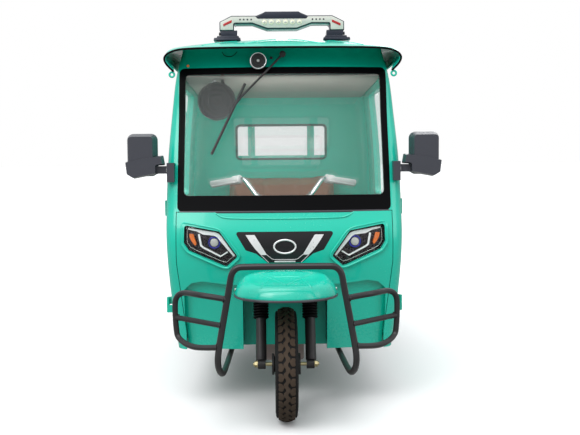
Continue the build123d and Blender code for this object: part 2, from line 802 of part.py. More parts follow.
nut_length = 14.0
with BuildPart() as front_axle:
    add(rod((-lug_outer - nut_length - 6, axle_y, tyre_radius), (lug_outer + nut_length + 6, axle_y, tyre_radius),
            front_axle_radius))
    for side in (1, -1):
        with BuildSketch(Plane(origin=(side * lug_outer, axle_y, tyre_radius), x_dir=(0, 1, 0), z_dir=(side, 0, 0))):
            RegularPolygon(radius=14, side_count=6)
        extrude(amount=nut_length)
write(front_axle.part, "front_axle")

# --- handlebar with a rise each side and swept-back grips ---
grip_end = (345, axle_y + 500, 1003)
grip_root = (185, axle_y + 415, 1030)
bar_neck = (128, axle_y + 365, 955)
bar_foot = (62, bar_centre[1], bar_centre[2])
bar_points = [(-grip_end[0], *grip_end[1:]), (-grip_root[0], *grip_root[1:]), (-bar_neck[0], *bar_neck[1:]),
              (-bar_foot[0], *bar_foot[1:]), bar_foot, bar_neck, grip_root, grip_end]
with BuildPart() as handlebar:
    add(pipe(bar_points, [40, 30, 40, 40, 30, 40], bar_radius))
write(handlebar.part, "handlebar")

grip_length = 125.0
grip_radius = 16.5
pod_radius = 21.0


def along_grip(side, distance, drop=0, forward=0):
    """A point on the grip's line, a distance in from its end."""
    line = Vector(*grip_root) - Vector(*grip_end)
    spot = Vector(*grip_end) + line.normalized() * distance
    return (side * spot.X, spot.Y - forward, spot.Z - drop)


with BuildPart() as handlebar_controls:
    for side in (1, -1):
        add(rod(along_grip(side, 0), along_grip(side, grip_length), grip_radius))
        add(rod(along_grip(side, grip_length), along_grip(side, grip_length + 38), pod_radius))
        add(pipe([along_grip(side, grip_length + 24, 6, 12), along_grip(side, grip_length + 10, 8, 52),
                  along_grip(side, 8, 10, 62)], [14], 6))
        add(rod(along_grip(side, -5), along_grip(side, grip_length + 60), bar_radius), mode=Mode.SUBTRACT)
write(handlebar_controls.part, "handlebar_controls")

# --- wheels: a tyre on a pressed rim with a flanged hub ---
rim_half = 34.0
rim_flange = 12.0


def tyre(centre_x, centre_y):
    shoulder = tyre_width / 2
    with BuildPart() as ring:
        with BuildSketch(Plane.XZ):
            with BuildLine():
                Line((-rim_half, rim_radius), (rim_half, rim_radius))
                Line((rim_half, rim_radius), (rim_half, rim_radius + rim_flange))
                ThreePointArc((rim_half, rim_radius + rim_flange), (shoulder, rim_radius + 46),
                              (shoulder - 8, tyre_radius - 14))
                ThreePointArc((shoulder - 8, tyre_radius - 14), (0, tyre_radius), (8 - shoulder, tyre_radius - 14))
                ThreePointArc((8 - shoulder, tyre_radius - 14), (-shoulder, rim_radius + 46),
                              (-rim_half, rim_radius + rim_flange))
                Line((-rim_half, rim_radius + rim_flange), (-rim_half, rim_radius))
            make_face()
        revolve(axis=Axis.X)
    return ring.part.moved(Location((centre_x, centre_y, tyre_radius)))


def rim(centre_x, centre_y, hub_half, hub_radius, bore, disc_x):
    wall_r = rim_radius - 5
    with BuildPart() as wheel:
        with BuildSketch(Plane.XZ):
            with BuildLine():
                Polyline((-rim_half, rim_radius), (rim_half, rim_radius), (rim_half, rim_radius + rim_flange),
                         (rim_half + 4, rim_radius + rim_flange), (rim_half + 4, wall_r), (20, wall_r),
                         (12, wall_r - 12), (-12, wall_r - 12), (-20, wall_r), (-rim_half - 4, wall_r),
                         (-rim_half - 4, rim_radius + rim_flange), (-rim_half, rim_radius + rim_flange), close=True)
            make_face()
            with BuildLine():
                Polyline((disc_x - 4, hub_radius - 16), (disc_x + 4, hub_radius - 16), (disc_x + 14, hub_radius + 30),
                         (8, wall_r - 9), (0, wall_r - 9), (disc_x + 4, hub_radius + 32), close=True)
            make_face()
            with BuildLine():
                Polyline((-hub_half, bore), (hub_half, bore), (hub_half, hub_radius), (hub_half - 8, hub_radius),
                         (hub_half - 12, hub_radius - 12), (12 - hub_half, hub_radius - 12),
                         (8 - hub_half, hub_radius), (-hub_half, hub_radius), close=True)
            make_face()
        revolve(axis=Axis.X)
        with BuildSketch(Plane.YZ.offset(-60)):
            with PolarLocations(hub_radius + 52, 6):
                Circle(13)
        extrude(amount=120, mode=Mode.SUBTRACT)
    return wheel.part.moved(Location((centre_x, centre_y, tyre_radius)))


spindle_radius = 15.0
rear_hub_half = 40.0
write(tyre(0, axle_y), "front_tyre")
write(rim(0, axle_y, 61, 46, front_axle_radius + fit_gap, 0), "front_rim")
for side, name in ((1, "left"), (-1, "right")):
    write(tyre(side * rear_track / 2, rear_axle_y), f"rear_tyre_{name}")
    write(rim(side * rear_track / 2, rear_axle_y, rear_hub_half, 46, spindle_radius + fit_gap, 0), f"rear_rim_{name}")

# --- rear axle: housing, differential and motor, drum backs and spindles ---
drum_face = rear_track / 2 - rear_hub_half - 6
with BuildPart() as rear_axle:
    add(rod((-drum_face, rear_axle_y, tyre_radius), (drum_face, rear_axle_y, tyre_radius), axle_tube_radius))
    with BuildSketch(Plane.XZ.offset(-rear_axle_y)):
        with BuildLine():
            Polyline((-95, tyre_radius), (-95, tyre_radius + 50), (-50, tyre_radius + 92), (50, tyre_radius + 92),
                     (95, tyre_radius + 50), (95, tyre_radius), close=True)
        make_face()
    revolve(axis=Axis((0, rear_axle_y, tyre_radius), (1, 0, 0)))
    add(rod((-60, rear_axle_y - 165, tyre_radius + 10), (205, rear_axle_y - 165, tyre_radius + 10), 82))
    add(box_between((-58, rear_axle_y - 165, tyre_radius - 60), (20, rear_axle_y - 20, tyre_radius + 70)))
    for side in (1, -1):
        add(rod((side * (drum_face - 10), rear_axle_y, tyre_radius), (side * drum_face, rear_axle_y, tyre_radius), 100))
        add(rod((side * drum_face, rear_axle_y, tyre_radius),
                (side * (rear_track / 2 + rear_hub_half + 12), rear_axle_y, tyre_radius), spindle_radius))
write(rear_axle.part, "rear_axle")

# --- leaf springs under the rails, with hangers and axle clips ---
leaf_count = 5
leaf_thickness = 8.0
leaf_rise = 70.0
spring_foot = tyre_radius + axle_tube_radius
leaf_halves = [spring_length / 2 * (leaf + 1.4) / (leaf_count + 0.4) for leaf in range(leaf_count)]


def spring_bow(y):
    """Height of the lowest leaf's underside, that far along the spring from the axle."""
    return spring_foot + leaf_rise * (y / (spring_length / 2)) ** 2


steps = []
for leaf, half in enumerate(leaf_halves):
    start = leaf_halves[leaf - 1] if leaf else 0
    steps += [(y, spring_bow(y) + leaf * leaf_thickness) for y in (start, (start + half) / 2, half)]
crown = [(leaf_halves[-1] * n / 8, spring_bow(leaf_halves[-1] * n / 8) + leaf_count * leaf_thickness) for n in range(8, -1, -1)]
spring_side = steps + crown
with BuildPart() as leaf_springs:
    for side in (1, -1):
        with BuildSketch(side_plane(side * rail_half - leaf_width / 2)):
            with BuildLine():
                Polyline(*[(rear_axle_y + y, z) for y, z in spring_side],
                         *[(rear_axle_y - y, z) for y, z in reversed(spring_side[1:-1])], close=True)
            make_face()
        extrude(amount=leaf_width)
        eye_z = spring_foot + (leaf_count - 1) * leaf_thickness + leaf_rise + 4
        for end in (1, -1):
            y = rear_axle_y + end * (spring_length / 2 - 6)
            add(rod((side * rail_half - 32, y, eye_z), (side * rail_half + 32, y, eye_z), 12))
            for cheek in (1, -1):
                add(box_between((side * rail_half + cheek * 28 - 4, y - 18, eye_z - 14),
                                (side * rail_half + cheek * 28 + 4, y + 18, rail_high)))
            add(box_between((side * rail_half - 32, y - 18, rail_high - 6), (side * rail_half + 32, y + 18, rail_high)))
        for end in (1, -1):
            for cheek in (1, -1):
                add(rod((side * rail_half + cheek * 25, rear_axle_y + end * 40, spring_foot - 50),
                        (side * rail_half + cheek * 25, rear_axle_y + end * 40, spring_foot + 52), 5))
        add(box_between((side * rail_half - 36, rear_axle_y - 50, spring_foot + 40),
                        (side * rail_half + 36, rear_axle_y + 50, spring_foot + 48)))
    add(rod((-drum_face, rear_axle_y, tyre_radius), (drum_face, rear_axle_y, tyre_radius), axle_tube_radius),
        mode=Mode.SUBTRACT)
write(leaf_springs.part, "leaf_springs")

# --- rear mudguards: arched covers held to the rails ---
guard_radius = 262.0
guard_width = 130.0
guard_skin = 4.0
with BuildPart() as rear_mudguards:
    for side in (1, -1):
        centre = side * rear_track / 2
        with BuildSketch(side_plane(centre - guard_width / 2)):
            with Locations((rear_axle_y, tyre_radius)):
                Circle(guard_radius + guard_skin)
                Circle(guard_radius, mode=Mode.SUBTRACT)
            with Locations((rear_axle_y, tyre_radius - guard_radius + 60)):
                Rectangle(3 * guard_radius, 2 * guard_radius, mode=Mode.SUBTRACT)
        extrude(amount=guard_width)
        inner = side * (rail_half + rail_size / 2)
        outer = side * (rear_track / 2 - guard_width / 2 + 4)
        add(box_between((min(inner, outer), rear_axle_y - 15, tyre_radius + guard_radius - 22),
                        (max(inner, outer), rear_axle_y + 15, tyre_radius + guard_radius - 18)))
        add(box_between((min(outer, outer + side * 4) - 2, rear_axle_y - 15, tyre_radius + guard_radius - 22),
                        (max(outer, outer + side * 4), rear_axle_y + 15, tyre_radius + guard_radius + 2)))
write(rear_mudguards.part, "rear_mudguards")

# --- battery block between the rails ---
with BuildPart() as battery_pack:
    with Locations((0, axle_y + 1500, rail_high - 90)):
        Box(2 * rail_half - rail_size - 20, 320, 170)
    fillet(battery_pack.edges().filter_by(Axis.Z), 10)
    for side in (1, -1):
        add(box_between((side * 275 - 12, axle_y + 1560, rail_high - 30), (side * 275 + 12, axle_y + 1580, rail_high)))
write(battery_pack.part, "battery_pack")

# --- bed: floor frame, drop sides, tailgate and headboard guard ---
bed_front_y = axle_y + bed_front
bed_rear_y = tail_y - 2 * board_hinge_radius
hinge_line_x = bed_half + board_hinge_radius
hinge_line_z = bed_floor_top - 3
head_depth = 25.0
head_step = 3.0              # the headboard stands this much below the deck
gate_y = bed_rear_y - board_thickness
with BuildPart() as bed_floor:
    add(box_between((-bed_half, bed_front_y, bed_floor_top - bed_floor_depth), (bed_half, bed_rear_y, bed_floor_top)))
    add(box_between((-bed_half + 40, bed_front_y + 40, bed_floor_top - bed_floor_depth - 1),
                    (bed_half - 40, bed_rear_y - 40, bed_floor_top - 6)), mode=Mode.SUBTRACT)
    add(box_between((-bed_half - 1, bed_front_y - 1, bed_floor_top - head_step),
                    (bed_half + 1, bed_front_y + head_depth, bed_floor_top + 1)), mode=Mode.SUBTRACT)
    for x in (-400, -200, 0, 200, 400):
        add(box_between((x - 15, bed_front_y + 30, bed_floor_top - 46), (x + 15, bed_rear_y - 30, bed_floor_top - 4)))
    for side in (1, -1):
        for y in (bed_front_y + 260, (bed_front_y + bed_rear_y) / 2, bed_rear_y - 260):
            add(rod((side * hinge_line_x, y - 45, hinge_line_z), (side * hinge_line_x, y, hinge_line_z),
                    board_hinge_radius))
            inner, outer = sorted((side * (bed_half - 5), side * hinge_line_x))
            add(box_between((inner, y - 45, hinge_line_z - 7), (outer, y, hinge_line_z - 1)))
    for x in (-300, 300):
        add(rod((x - 45, bed_rear_y + board_hinge_radius, hinge_line_z),
                (x, bed_rear_y + board_hinge_radius, hinge_line_z), board_hinge_radius))
        add(box_between((x - 45, bed_rear_y - 5, hinge_line_z - 7), (x, bed_rear_y + board_hinge_radius, hinge_line_z - 1)))
write(bed_floor.part, "bed_floor")

side_front_y = bed_front_y + head_depth + door_gap
side_rear_y = gate_y - door_gap
board_foot = bed_floor_top + door_gap
board_top = bed_floor_top + board_height
for side, name in ((1, "left"), (-1, "right")):
    with BuildPart() as board:
        inner, outer = bed_half - board_thickness, bed_half
        add(box_between((inner, side_front_y, board_foot), (outer, side_rear_y, board_top)))
        panels = 3
        pitch = (side_rear_y - side_front_y - 60) / panels
        for panel in range(panels):
            low = side_front_y + 30 + panel * pitch + 20
            add(box_between((outer - 8, low, board_foot + 50), (outer + 1, low + pitch - 40, board_top - 50)),
                mode=Mode.SUBTRACT)
        for y in (bed_front_y + 260, (bed_front_y + bed_rear_y) / 2, bed_rear_y - 260):
            add(rod((hinge_line_x, y + fit_gap, hinge_line_z), (hinge_line_x, y + 45, hinge_line_z), board_hinge_radius))
            add(box_between((bed_half, y + fit_gap, hinge_line_z + 4), (hinge_line_x + 3, y + 45, board_foot + 30)))
        if side < 0:
            mirror(about=Plane.YZ, mode=Mode.REPLACE)
    write(board.part, f"bed_side_{name}")

with BuildPart() as tailgate:
    add(box_between((-bed_half, gate_y, board_foot), (bed_half, bed_rear_y, board_top)))
    for x in (-360, 0, 360):
        add(box_between((x - 160, bed_rear_y - 8, board_foot + 50), (x + 160, bed_rear_y + 1, board_top - 50)),
            mode=Mode.SUBTRACT)
    for x in (-300, 300):
        add(rod((x + fit_gap, bed_rear_y + board_hinge_radius, hinge_line_z),
                (x + 45, bed_rear_y + board_hinge_radius, hinge_line_z), board_hinge_radius))
        add(box_between((x + fit_gap, bed_rear_y, hinge_line_z + 4),
                        (x + 45, bed_rear_y + board_hinge_radius + 3, board_foot + 30)))
write(tailgate.part, "tailgate")

guard_post_x = 172.0
with BuildPart() as bed_headboard:
    y0, y1 = bed_front_y, bed_front_y + head_depth
    add(box_between((-bed_half, y0, bed_floor_top - head_step), (bed_half, y1, board_top)))
    for x in (-400, 0, 400):
        add(box_between((x - 130, y1 - 8, board_foot + 50), (x + 130, y1 + 1, board_top - 50)), mode=Mode.SUBTRACT)
    for x in (-bed_half + 20, -guard_post_x, guard_post_x, bed_half - 20):
        add(box_between((x - 20, y0, board_top - 5), (x + 20, y1, guard_height)))
    add(box_between((-bed_half, y0, guard_height - 40), (bed_half, y1, guard_height)))
    add(box_between((-bed_half, y0, 1120), (bed_half, y1, 1145)))
write(bed_headboard.part, "bed_headboard")

with BuildPart() as tail_lights:
    for side in (1, -1):
        with Locations((side * 430, rail_end + 14, rail_high + 15)):
            Box(150, 28, 60)
    fillet(tail_lights.edges().filter_by(Axis.Y), 12)
write(tail_lights.part, "tail_lights")

# --- seat ---
rear_inner_y = axle_y + cab_back - wall
with BuildPart() as seat_box:
    add(box_between((-seat_half, axle_y + seat_front, floor_top), (seat_half, axle_y + seat_rear, seat_box_top)))
    fillet(seat_box.edges().filter_by(Axis.Z), 25)
    add(box_between((-seat_half + 16, axle_y + seat_front + 16, floor_top - 1),
                    (seat_half - 16, axle_y + seat_rear - 16, seat_box_top - 16)), mode=Mode.SUBTRACT)
    for x in (-200, 200):
        add(box_between((x - 22, axle_y + seat_rear - 4, seat_box_top - 60), (x + 22, axle_y + seat_rear + 60, seat_box_top - 30)))
        add(box_between((x - 22, axle_y + seat_rear + 40, seat_box_top - 60), (x + 22, axle_y + seat_rear + 60, back_top - 60)))
write(seat_box.part, "seat_box")

with BuildPart() as seat_cushion:
    add(box_between((-seat_half + 6, axle_y + seat_front - 10, seat_box_top + fit_gap),
                    (seat_half - 6, axle_y + seat_rear - 45, seat_box_top + cushion_thickness)))
    fillet(seat_cushion.edges().filter_by(Axis.Z), 50)
    fillet(seat_cushion.faces().sort_by(Axis.Z)[-1].edges(), 30)
write(seat_cushion.part, "seat_cushion")

back_rear_y = axle_y + seat_rear + 40 - fit_gap
with BuildPart() as seat_back:
    add(box_between((-back_half, back_rear_y - back_thickness, back_foot), (back_half, back_rear_y, back_top)))
    fillet(seat_back.edges().filter_by(Axis.Y), 45)
    fillet(seat_back.faces().sort_by(Axis.Y)[0].edges(), 28)
write(seat_back.part, "seat_back")

# --- dashboard shelf behind the nose ---
with BuildPart() as dashboard:
    with BuildSketch(side_plane(-600)):
        with BuildLine():
            Polyline((axle_y + 60, 820), (axle_y + 205, 790), (axle_y + 238, 830), (axle_y + 238, 872),
                     (axle_y + 222, 884), (axle_y + 60, 884), close=True)
        make_face()
    extrude(amount=1200)
    add(cab_clear, mode=Mode.INTERSECT)
    for side in (1, -1):
        add(lamp_block(side, 6), mode=Mode.SUBTRACT)
write(dashboard.part, "dashboard")

# --- wheel flap, pedal and cab fan ---
flap_y = axle_y + 440
with BuildPart() as mud_flap:
    add(box_between((-92, flap_y, 155), (92, flap_y + 5, floor_top - floor_plate)))
    fillet(mud_flap.edges().filter_by(Axis.Y).group_by(Axis.Z)[0], 14)
    add(box_between((-80, flap_y + 5, floor_top - floor_plate - 6), (80, flap_y + 30, floor_top - floor_plate)))
write(mud_flap.part, "mud_flap")

with BuildPart() as brake_pedal:
    add(rod((-236, axle_y + 430, floor_top), (-236, axle_y + 400, floor_top + 60), 8))
    add(box_between((-270, axle_y + 384, floor_top + 52), (-202, axle_y + 400, floor_top + 112)))
    add(box_between((-260, axle_y + 380, floor_top - 30), (-210, axle_y + 460, floor_top)), mode=Mode.SUBTRACT)
write(brake_pedal.part, "brake_pedal")

fan_x, fan_y, fan_z = -285.0, axle_y + 430, 1392.0
with BuildPart() as cab_fan:
    add(rod((fan_x, fan_y, fan_z), (fan_x, fan_y + 46, fan_z), 62))
    add(rod((fan_x, fan_y - 2, fan_z), (fan_x, fan_y + 40, fan_z), 56), mode=Mode.SUBTRACT)
    with BuildSketch(front_plane(fan_y + 8)):
        with Locations((fan_x, fan_z)):
            Circle(20)
            with PolarLocations(34, 5):
                Ellipse(22, 9)
    extrude(amount=-20)
    add(rod((fan_x, fan_y + 10, fan_z), (fan_x, fan_y + 95, fan_z), 20))
    add(box_between((fan_x - 8, fan_y + 60, fan_z), (fan_x + 8, fan_y + 76, 1600)))
    add(box_between((fan_x - 8, fan_y + 60, 1590), (fan_x + 8, fan_y + 76, 1700)) & roof_form(roof_skin + fit_gap))
write(cab_fan.part, "cab_fan")

# --- wiper, horn and mirrors ---
wiper_pivot = (0, 1597)
wiper_elbow = (-62, 1531)
wiper_tip = (-188, 1403)
blade_top = (-171, 1462)
blade_foot = (-322, 1145)


def ahead(point, proud):
    """A point that far ahead of the cab's front, at a place seen from the front."""
    return (point[0], front_y(*point) - proud, point[1])


with BuildPart() as wiper:
    add(rod(ahead(wiper_pivot, -20), ahead(wiper_pivot, 24), 11) - cab_form(-fit_gap))
    add(rod(ahead(wiper_pivot, 18), ahead(wiper_elbow, 20), 5))
    add(rod(ahead(wiper_elbow, 20), ahead(wiper_tip, 24), 5))
    add(rod(ahead(blade_top, 20), ahead(blade_foot, 20), 6))
    add(rod(ahead(wiper_tip, 24), ahead(((blade_top[0] * 2 + blade_foot[0]) / 3, (blade_top[1] * 2 + blade_foot[1]) / 3), 20), 4))
write(wiper.part, "wiper")

horn_spot = (-111, 1566)
with BuildPart() as header_horn:
    add(rod(ahead(horn_spot, -30), ahead(horn_spot, 34), 38) - cab_form(-fit_gap))
write(header_horn.part, "header_horn")

mirror_low, mirror_high = 1048.0, 1240.0
mirror_inner, mirror_outer = 568.0, 706.0
mirror_shell = [(709, 1115), (626, 1134), (542, 1142), (534, 1098), (566, 1096), (567, 1058), (674, 1038), (703, 1056)]
mirror_front = axle_y + 190
with BuildPart() as mirrors:
    for side in (1, -1):
        x0, x1 = sorted((side * mirror_inner, side * mirror_outer))
        with BuildSketch(Plane(origin=(0, mirror_front + 70, 0), x_dir=(1, 0, 0), z_dir=(0, -1, 0))) as face:
            with Locations(((x0 + x1) / 2, (mirror_low + mirror_high) / 2)):
                RectangleRounded(x1 - x0, mirror_high - mirror_low, 30)
        extrude(amount=70, taper=12)
        with BuildSketch(Plane(origin=(0, mirror_front + 55, 0), x_dir=(1, 0, 0), z_dir=(0, -1, 0))) as lower:
            with BuildLine():
                Polyline(*[(side * x, z) for x, z in mirror_shell], close=True)
            make_face()
            fillet(lower.vertices(), 5)
        extrude(amount=62, taper=5)
        with BuildSketch(Plane(origin=(0, mirror_front + 71, 0), x_dir=(1, 0, 0), z_dir=(0, -1, 0))) as face:
            with Locations(((x0 + x1) / 2, (mirror_low + mirror_high) / 2)):
                RectangleRounded(x1 - x0 - 16, mirror_high - mirror_low - 16, 24)
        extrude(amount=11, mode=Mode.SUBTRACT)
        add(box_between((min(side * 505, side * 600), mirror_front + 22, 1060), (max(side * 505, side * 600), mirror_front + 48, 1094))
            - cab_form(-fit_gap))
        add(box_between((min(side * 490, side * 522), mirror_front + 5, 1022), (max(side * 490, side * 522), mirror_front + 65, 1108))
            - cab_form(-fit_gap))
write(mirrors.part, "mirrors")

with BuildPart() as mirror_glass:
    for side in (1, -1):
        with BuildSketch(front_plane(mirror_front + 64)):
            with Locations((side * (mirror_inner + mirror_outer) / 2, (mirror_low + mirror_high) / 2)):
                RectangleRounded(mirror_outer - mirror_inner - 18, mirror_high - mirror_low - 18, 23)
        extrude(amount=4)
write(mirror_glass.part, "mirror_glass")

# --- roof light bar ---
bar_front = axle_y + 455
bar_rear = axle_y + 545
light_half = 296.0
with BuildPart() as light_bar:
    half = [(0, 1742), (75, 1742), (139, 1766), (213, 1766), (227, 1730), (light_half, 1730), (light_half, 1772),
            (255, 1795), (120, 1795), (74, 1820), (0, 1820)]
    add(front_block(half[1:-1] + [(-x, z) for x, z in reversed(half[1:-1])], 3, bar_front + 6, bar_rear))
    for side in (1, -1):
        add(box_between((side * 274 - 44, bar_front + 12, 1700), (side * 274 + 44, bar_rear - 6, 1735)))
        add(box_between((side * 275 - 60, bar_front + 4, 1640), (side * 275 + 60, bar_rear + 4, 1706)))
    add(roof_outside, mode=Mode.SUBTRACT)
write(light_bar.part, "light_bar")

with BuildPart() as light_bar_lens:
    for side in (1, -1):
        face = [(139, 1768), (210, 1768), (224, 1738), (light_half - 4, 1738), (light_half - 4, 1770), (253, 1792),
                (124, 1792)]
        add(front_block([(side * x, z) for x, z in face], 2, bar_front, bar_front + 6))
    add(front_block(both_ways([(72, 1745), (122, 1768), (118, 1792)]), 2, bar_front, bar_front + 6))
write(light_bar_lens.part, "light_bar_lens")

# --- bumper: a hoop with two side loops and mounting arms ---
hoop_y = axle_y - front_reach + bumper_pipe_radius
loop_y = axle_y - 170
with BuildPart() as bumper_bar:
    r = bumper_pipe_radius
    add(pipe([(-250, axle_y + 360, 230), (-262, axle_y - 60, 238), (-278, hoop_y, 320), (-249, hoop_y, 512),
              (-222, hoop_y, 640), (-150, hoop_y, 704), (150, hoop_y, 704), (222, hoop_y, 640), (249, hoop_y, 512),
              (278, hoop_y, 320), (262, axle_y - 60, 238), (250, axle_y + 360, 230)],
             [400, 60, 300, 200, 60, 60, 200, 300, 60, 400], r))
    for side in (1, -1):
        add(pipe([(side * 241, hoop_y, 578), (side * 330, hoop_y + 20, 592), (side * 448, loop_y, 570),
                  (side * 446, loop_y, 400), (side * 345, hoop_y + 55, 372), (side * 268, hoop_y, 388)],
                 [60, 60, 50, 50], r - 1.5))
        add(rod((side * 254, hoop_y, 476), (side * 445, loop_y, 480), r - 1.5))
        add(box_between((side * 250 - 12, rail_front + 5, 236), (side * 250 + 12, rail_front + 45, rail_low + 5)))
write(bumper_bar.part, "bumper_bar")

# --- charging socket's cover on the left side ---
with BuildPart() as charging_cover:
    z, y = 430, axle_y + 265
    add(box_between((470, y - 24, z - 32), (half_width(z) + 12, y + 24, z + 32)) - cab_form(-fit_gap))
write(charging_cover.part, "charging_cover")
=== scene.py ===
import math

import bpy
from mathutils import Matrix, Vector


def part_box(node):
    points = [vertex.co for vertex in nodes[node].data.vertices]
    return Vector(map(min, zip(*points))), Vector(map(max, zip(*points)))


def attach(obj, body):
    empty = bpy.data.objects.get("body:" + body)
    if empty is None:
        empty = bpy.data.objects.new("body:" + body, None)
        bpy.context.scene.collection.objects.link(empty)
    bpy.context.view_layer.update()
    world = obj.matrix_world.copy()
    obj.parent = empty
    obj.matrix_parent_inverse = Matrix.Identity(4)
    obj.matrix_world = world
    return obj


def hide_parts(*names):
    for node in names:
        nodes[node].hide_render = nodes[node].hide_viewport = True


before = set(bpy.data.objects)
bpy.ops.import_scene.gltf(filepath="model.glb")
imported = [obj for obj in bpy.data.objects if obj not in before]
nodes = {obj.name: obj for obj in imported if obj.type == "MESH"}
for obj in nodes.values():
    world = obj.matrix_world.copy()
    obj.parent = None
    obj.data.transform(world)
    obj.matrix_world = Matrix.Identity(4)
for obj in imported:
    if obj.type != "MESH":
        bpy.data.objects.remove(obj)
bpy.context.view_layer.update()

print("frame loaded:", len(nodes), "nodes")

# camera: a little left of the vehicle's middle, looking slightly down at the nose
camera = {"height": 1.112, "distance": 3.535, "side": -0.05, "pitch": 3.87, "roll": 0.5, "turn": -0.814,
    "lens": 51.82, "shiftX": 0.0095}
frontAxleY = -1.25
bpy.ops.object.select_all(action="DESELECT")
bpy.ops.object.camera_add(location=(camera["side"], frontAxleY - camera["distance"], camera["height"]),
    rotation=(math.radians(90 - camera["pitch"]), math.radians(camera["roll"]), math.radians(camera["turn"])))
viewCamera = bpy.context.object
viewCamera.data.lens = camera["lens"]
viewCamera.data.sensor_width = 36
viewCamera.data.shift_x = camera["shiftX"]
bpy.context.scene.camera = viewCamera

# studio: white backdrop, a sky that is brightest overhead, one broad sun and soft side lights
studio = {"floorSize": 400, "skyColor": (0.96, 0.98, 1.0), "horizonStrength": 0.5, "zenithStrength": 1.45,
    "backdropStrength": 1.0, "floorColor": (0.86, 0.86, 0.86), "bounceColor": (0.3, 0.3, 0.29),
    "sunPower": 1.5, "sunSpread": 50, "keyPower": 105, "fillPower": 40, "backPower": 60, "cabPower": 3}


def softLight(name, place, aim, size, power):
    bpy.ops.object.light_add(type="AREA", location=place)
    lamp = bpy.context.object
    lamp.name = name
    lamp.data.shape = "RECTANGLE"
    lamp.data.size, lamp.data.size_y = size
    lamp.data.energy = power
    lamp.rotation_euler = (Vector(aim) - Vector(place)).to_track_quat("-Z", "Y").to_euler()


softLight("keyLight", (-3.6, -5.2, 4.6), (0, -0.9, 0.9), (3.2, 2.6), studio["keyPower"])
softLight("fillLight", (4.6, -4.2, 2.6), (0, -0.6, 0.8), (3.0, 3.0), studio["fillPower"])
softLight("backLight", (1.5, 6.0, 3.4), (0, 0.8, 0.8), (3.6, 2.4), studio["backPower"])
softLight("cabLight", (0, -0.93, 1.2), (0, -0.1, 1.22), (0.6, 0.14), studio["cabPower"])
bpy.context.object.visible_glossy = False  # lights the cab but is not mirrored in its walls
bpy.ops.object.light_add(type="SUN", location=(-2, -4, 6))
sun = bpy.context.object
sun.name = "sunLight"
sun.data.energy = studio["sunPower"]
sun.data.angle = math.radians(studio["sunSpread"])
sun.rotation_euler = (Vector((0.25, 0.45, -1))).to_track_quat("-Z", "Y").to_euler()

sky = bpy.data.worlds.new("studioSky")
bpy.context.scene.world = sky
sky.use_nodes = True
skyTree = sky.node_tree
skyShader = skyTree.nodes["Background"]
skyShader.inputs["Color"].default_value = (*studio["skyColor"], 1)
skyHeight = skyTree.nodes.new("ShaderNodeSeparateXYZ")
skyTree.links.new(skyTree.nodes.new("ShaderNodeTexCoord").outputs["Generated"], skyHeight.inputs["Vector"])
skyRise = skyTree.nodes.new("ShaderNodeMapRange")
skyRise.inputs["To Min"].default_value = studio["horizonStrength"]
skyRise.inputs["To Max"].default_value = studio["zenithStrength"]
skyTree.links.new(skyHeight.outputs["Z"], skyRise.inputs["Value"])
skyTree.links.new(skyRise.outputs["Result"], skyShader.inputs["Strength"])
backdrop = skyTree.nodes.new("ShaderNodeBackground")  # what is seen behind the vehicle
backdrop.inputs["Color"].default_value = (1, 1, 1, 1)
backdrop.inputs["Strength"].default_value = studio["backdropStrength"]
seenOrLighting = skyTree.nodes.new("ShaderNodeMixShader")
skyTree.links.new(skyTree.nodes.new("ShaderNodeLightPath").outputs["Is Camera Ray"], seenOrLighting.inputs["Fac"])
skyTree.links.new(skyShader.outputs["Background"], seenOrLighting.inputs[1])
skyTree.links.new(backdrop.outputs["Background"], seenOrLighting.inputs[2])
skyTree.links.new(seenOrLighting.outputs["Shader"], skyTree.nodes["World Output"].inputs["Surface"])
bpy.context.scene.view_settings.view_transform = "Standard"


# shared effects as node groups
def startGroup(name, inputs, outputs):
    # a socket is given by its kind, or by its usual value when that is a number or three numbers
    group = bpy.data.node_groups.new(name, "ShaderNodeTree")
    for direction, sockets in (("INPUT", inputs), ("OUTPUT", outputs)):
        for label, value in sockets.items():
            kind = value if isinstance(value, str) else "Vector" if isinstance(value, tuple) else "Float"
            socket = group.interface.new_socket(name=label, in_out=direction, socket_type="NodeSocket" + kind)
            if value != kind:
                socket.default_value = value
    entry = group.nodes.new("NodeGroupInput")
    leave = group.nodes.new("NodeGroupOutput")
    return group, entry.outputs, leave.inputs


def feed(tree, socket, value):
    # a socket takes another socket's output or a plain value
    if hasattr(value, "is_output"):
        tree.links.new(value, socket)
    elif value is not None:
        socket.default_value = value


def noiseNode(tree, vector, scale, detail=4, roughness=0.55):
    node = tree.nodes.new("ShaderNodeTexNoise")
    feed(tree, node.inputs["Scale"], scale)
    node.inputs["Detail"].default_value = detail
    node.inputs["Roughness"].default_value = roughness
    tree.links.new(vector, node.inputs["Vector"])
    return node.outputs["Fac"]


def mathNode(tree, operation, first, second=None, clamp=False):
    node = tree.nodes.new("ShaderNodeMath")
    node.operation = operation
    node.use_clamp = clamp
    for index, value in enumerate((first, second)):
        feed(tree, node.inputs[index], value)
    return node.outputs["Value"]


def mixColor(tree, factor, first, second):
    node = tree.nodes.new("ShaderNodeMix")
    node.data_type = "RGBA"
    for index, value in ((0, factor), (6, first), (7, second)):
        feed(tree, node.inputs[index], value)
    return node.outputs[2]


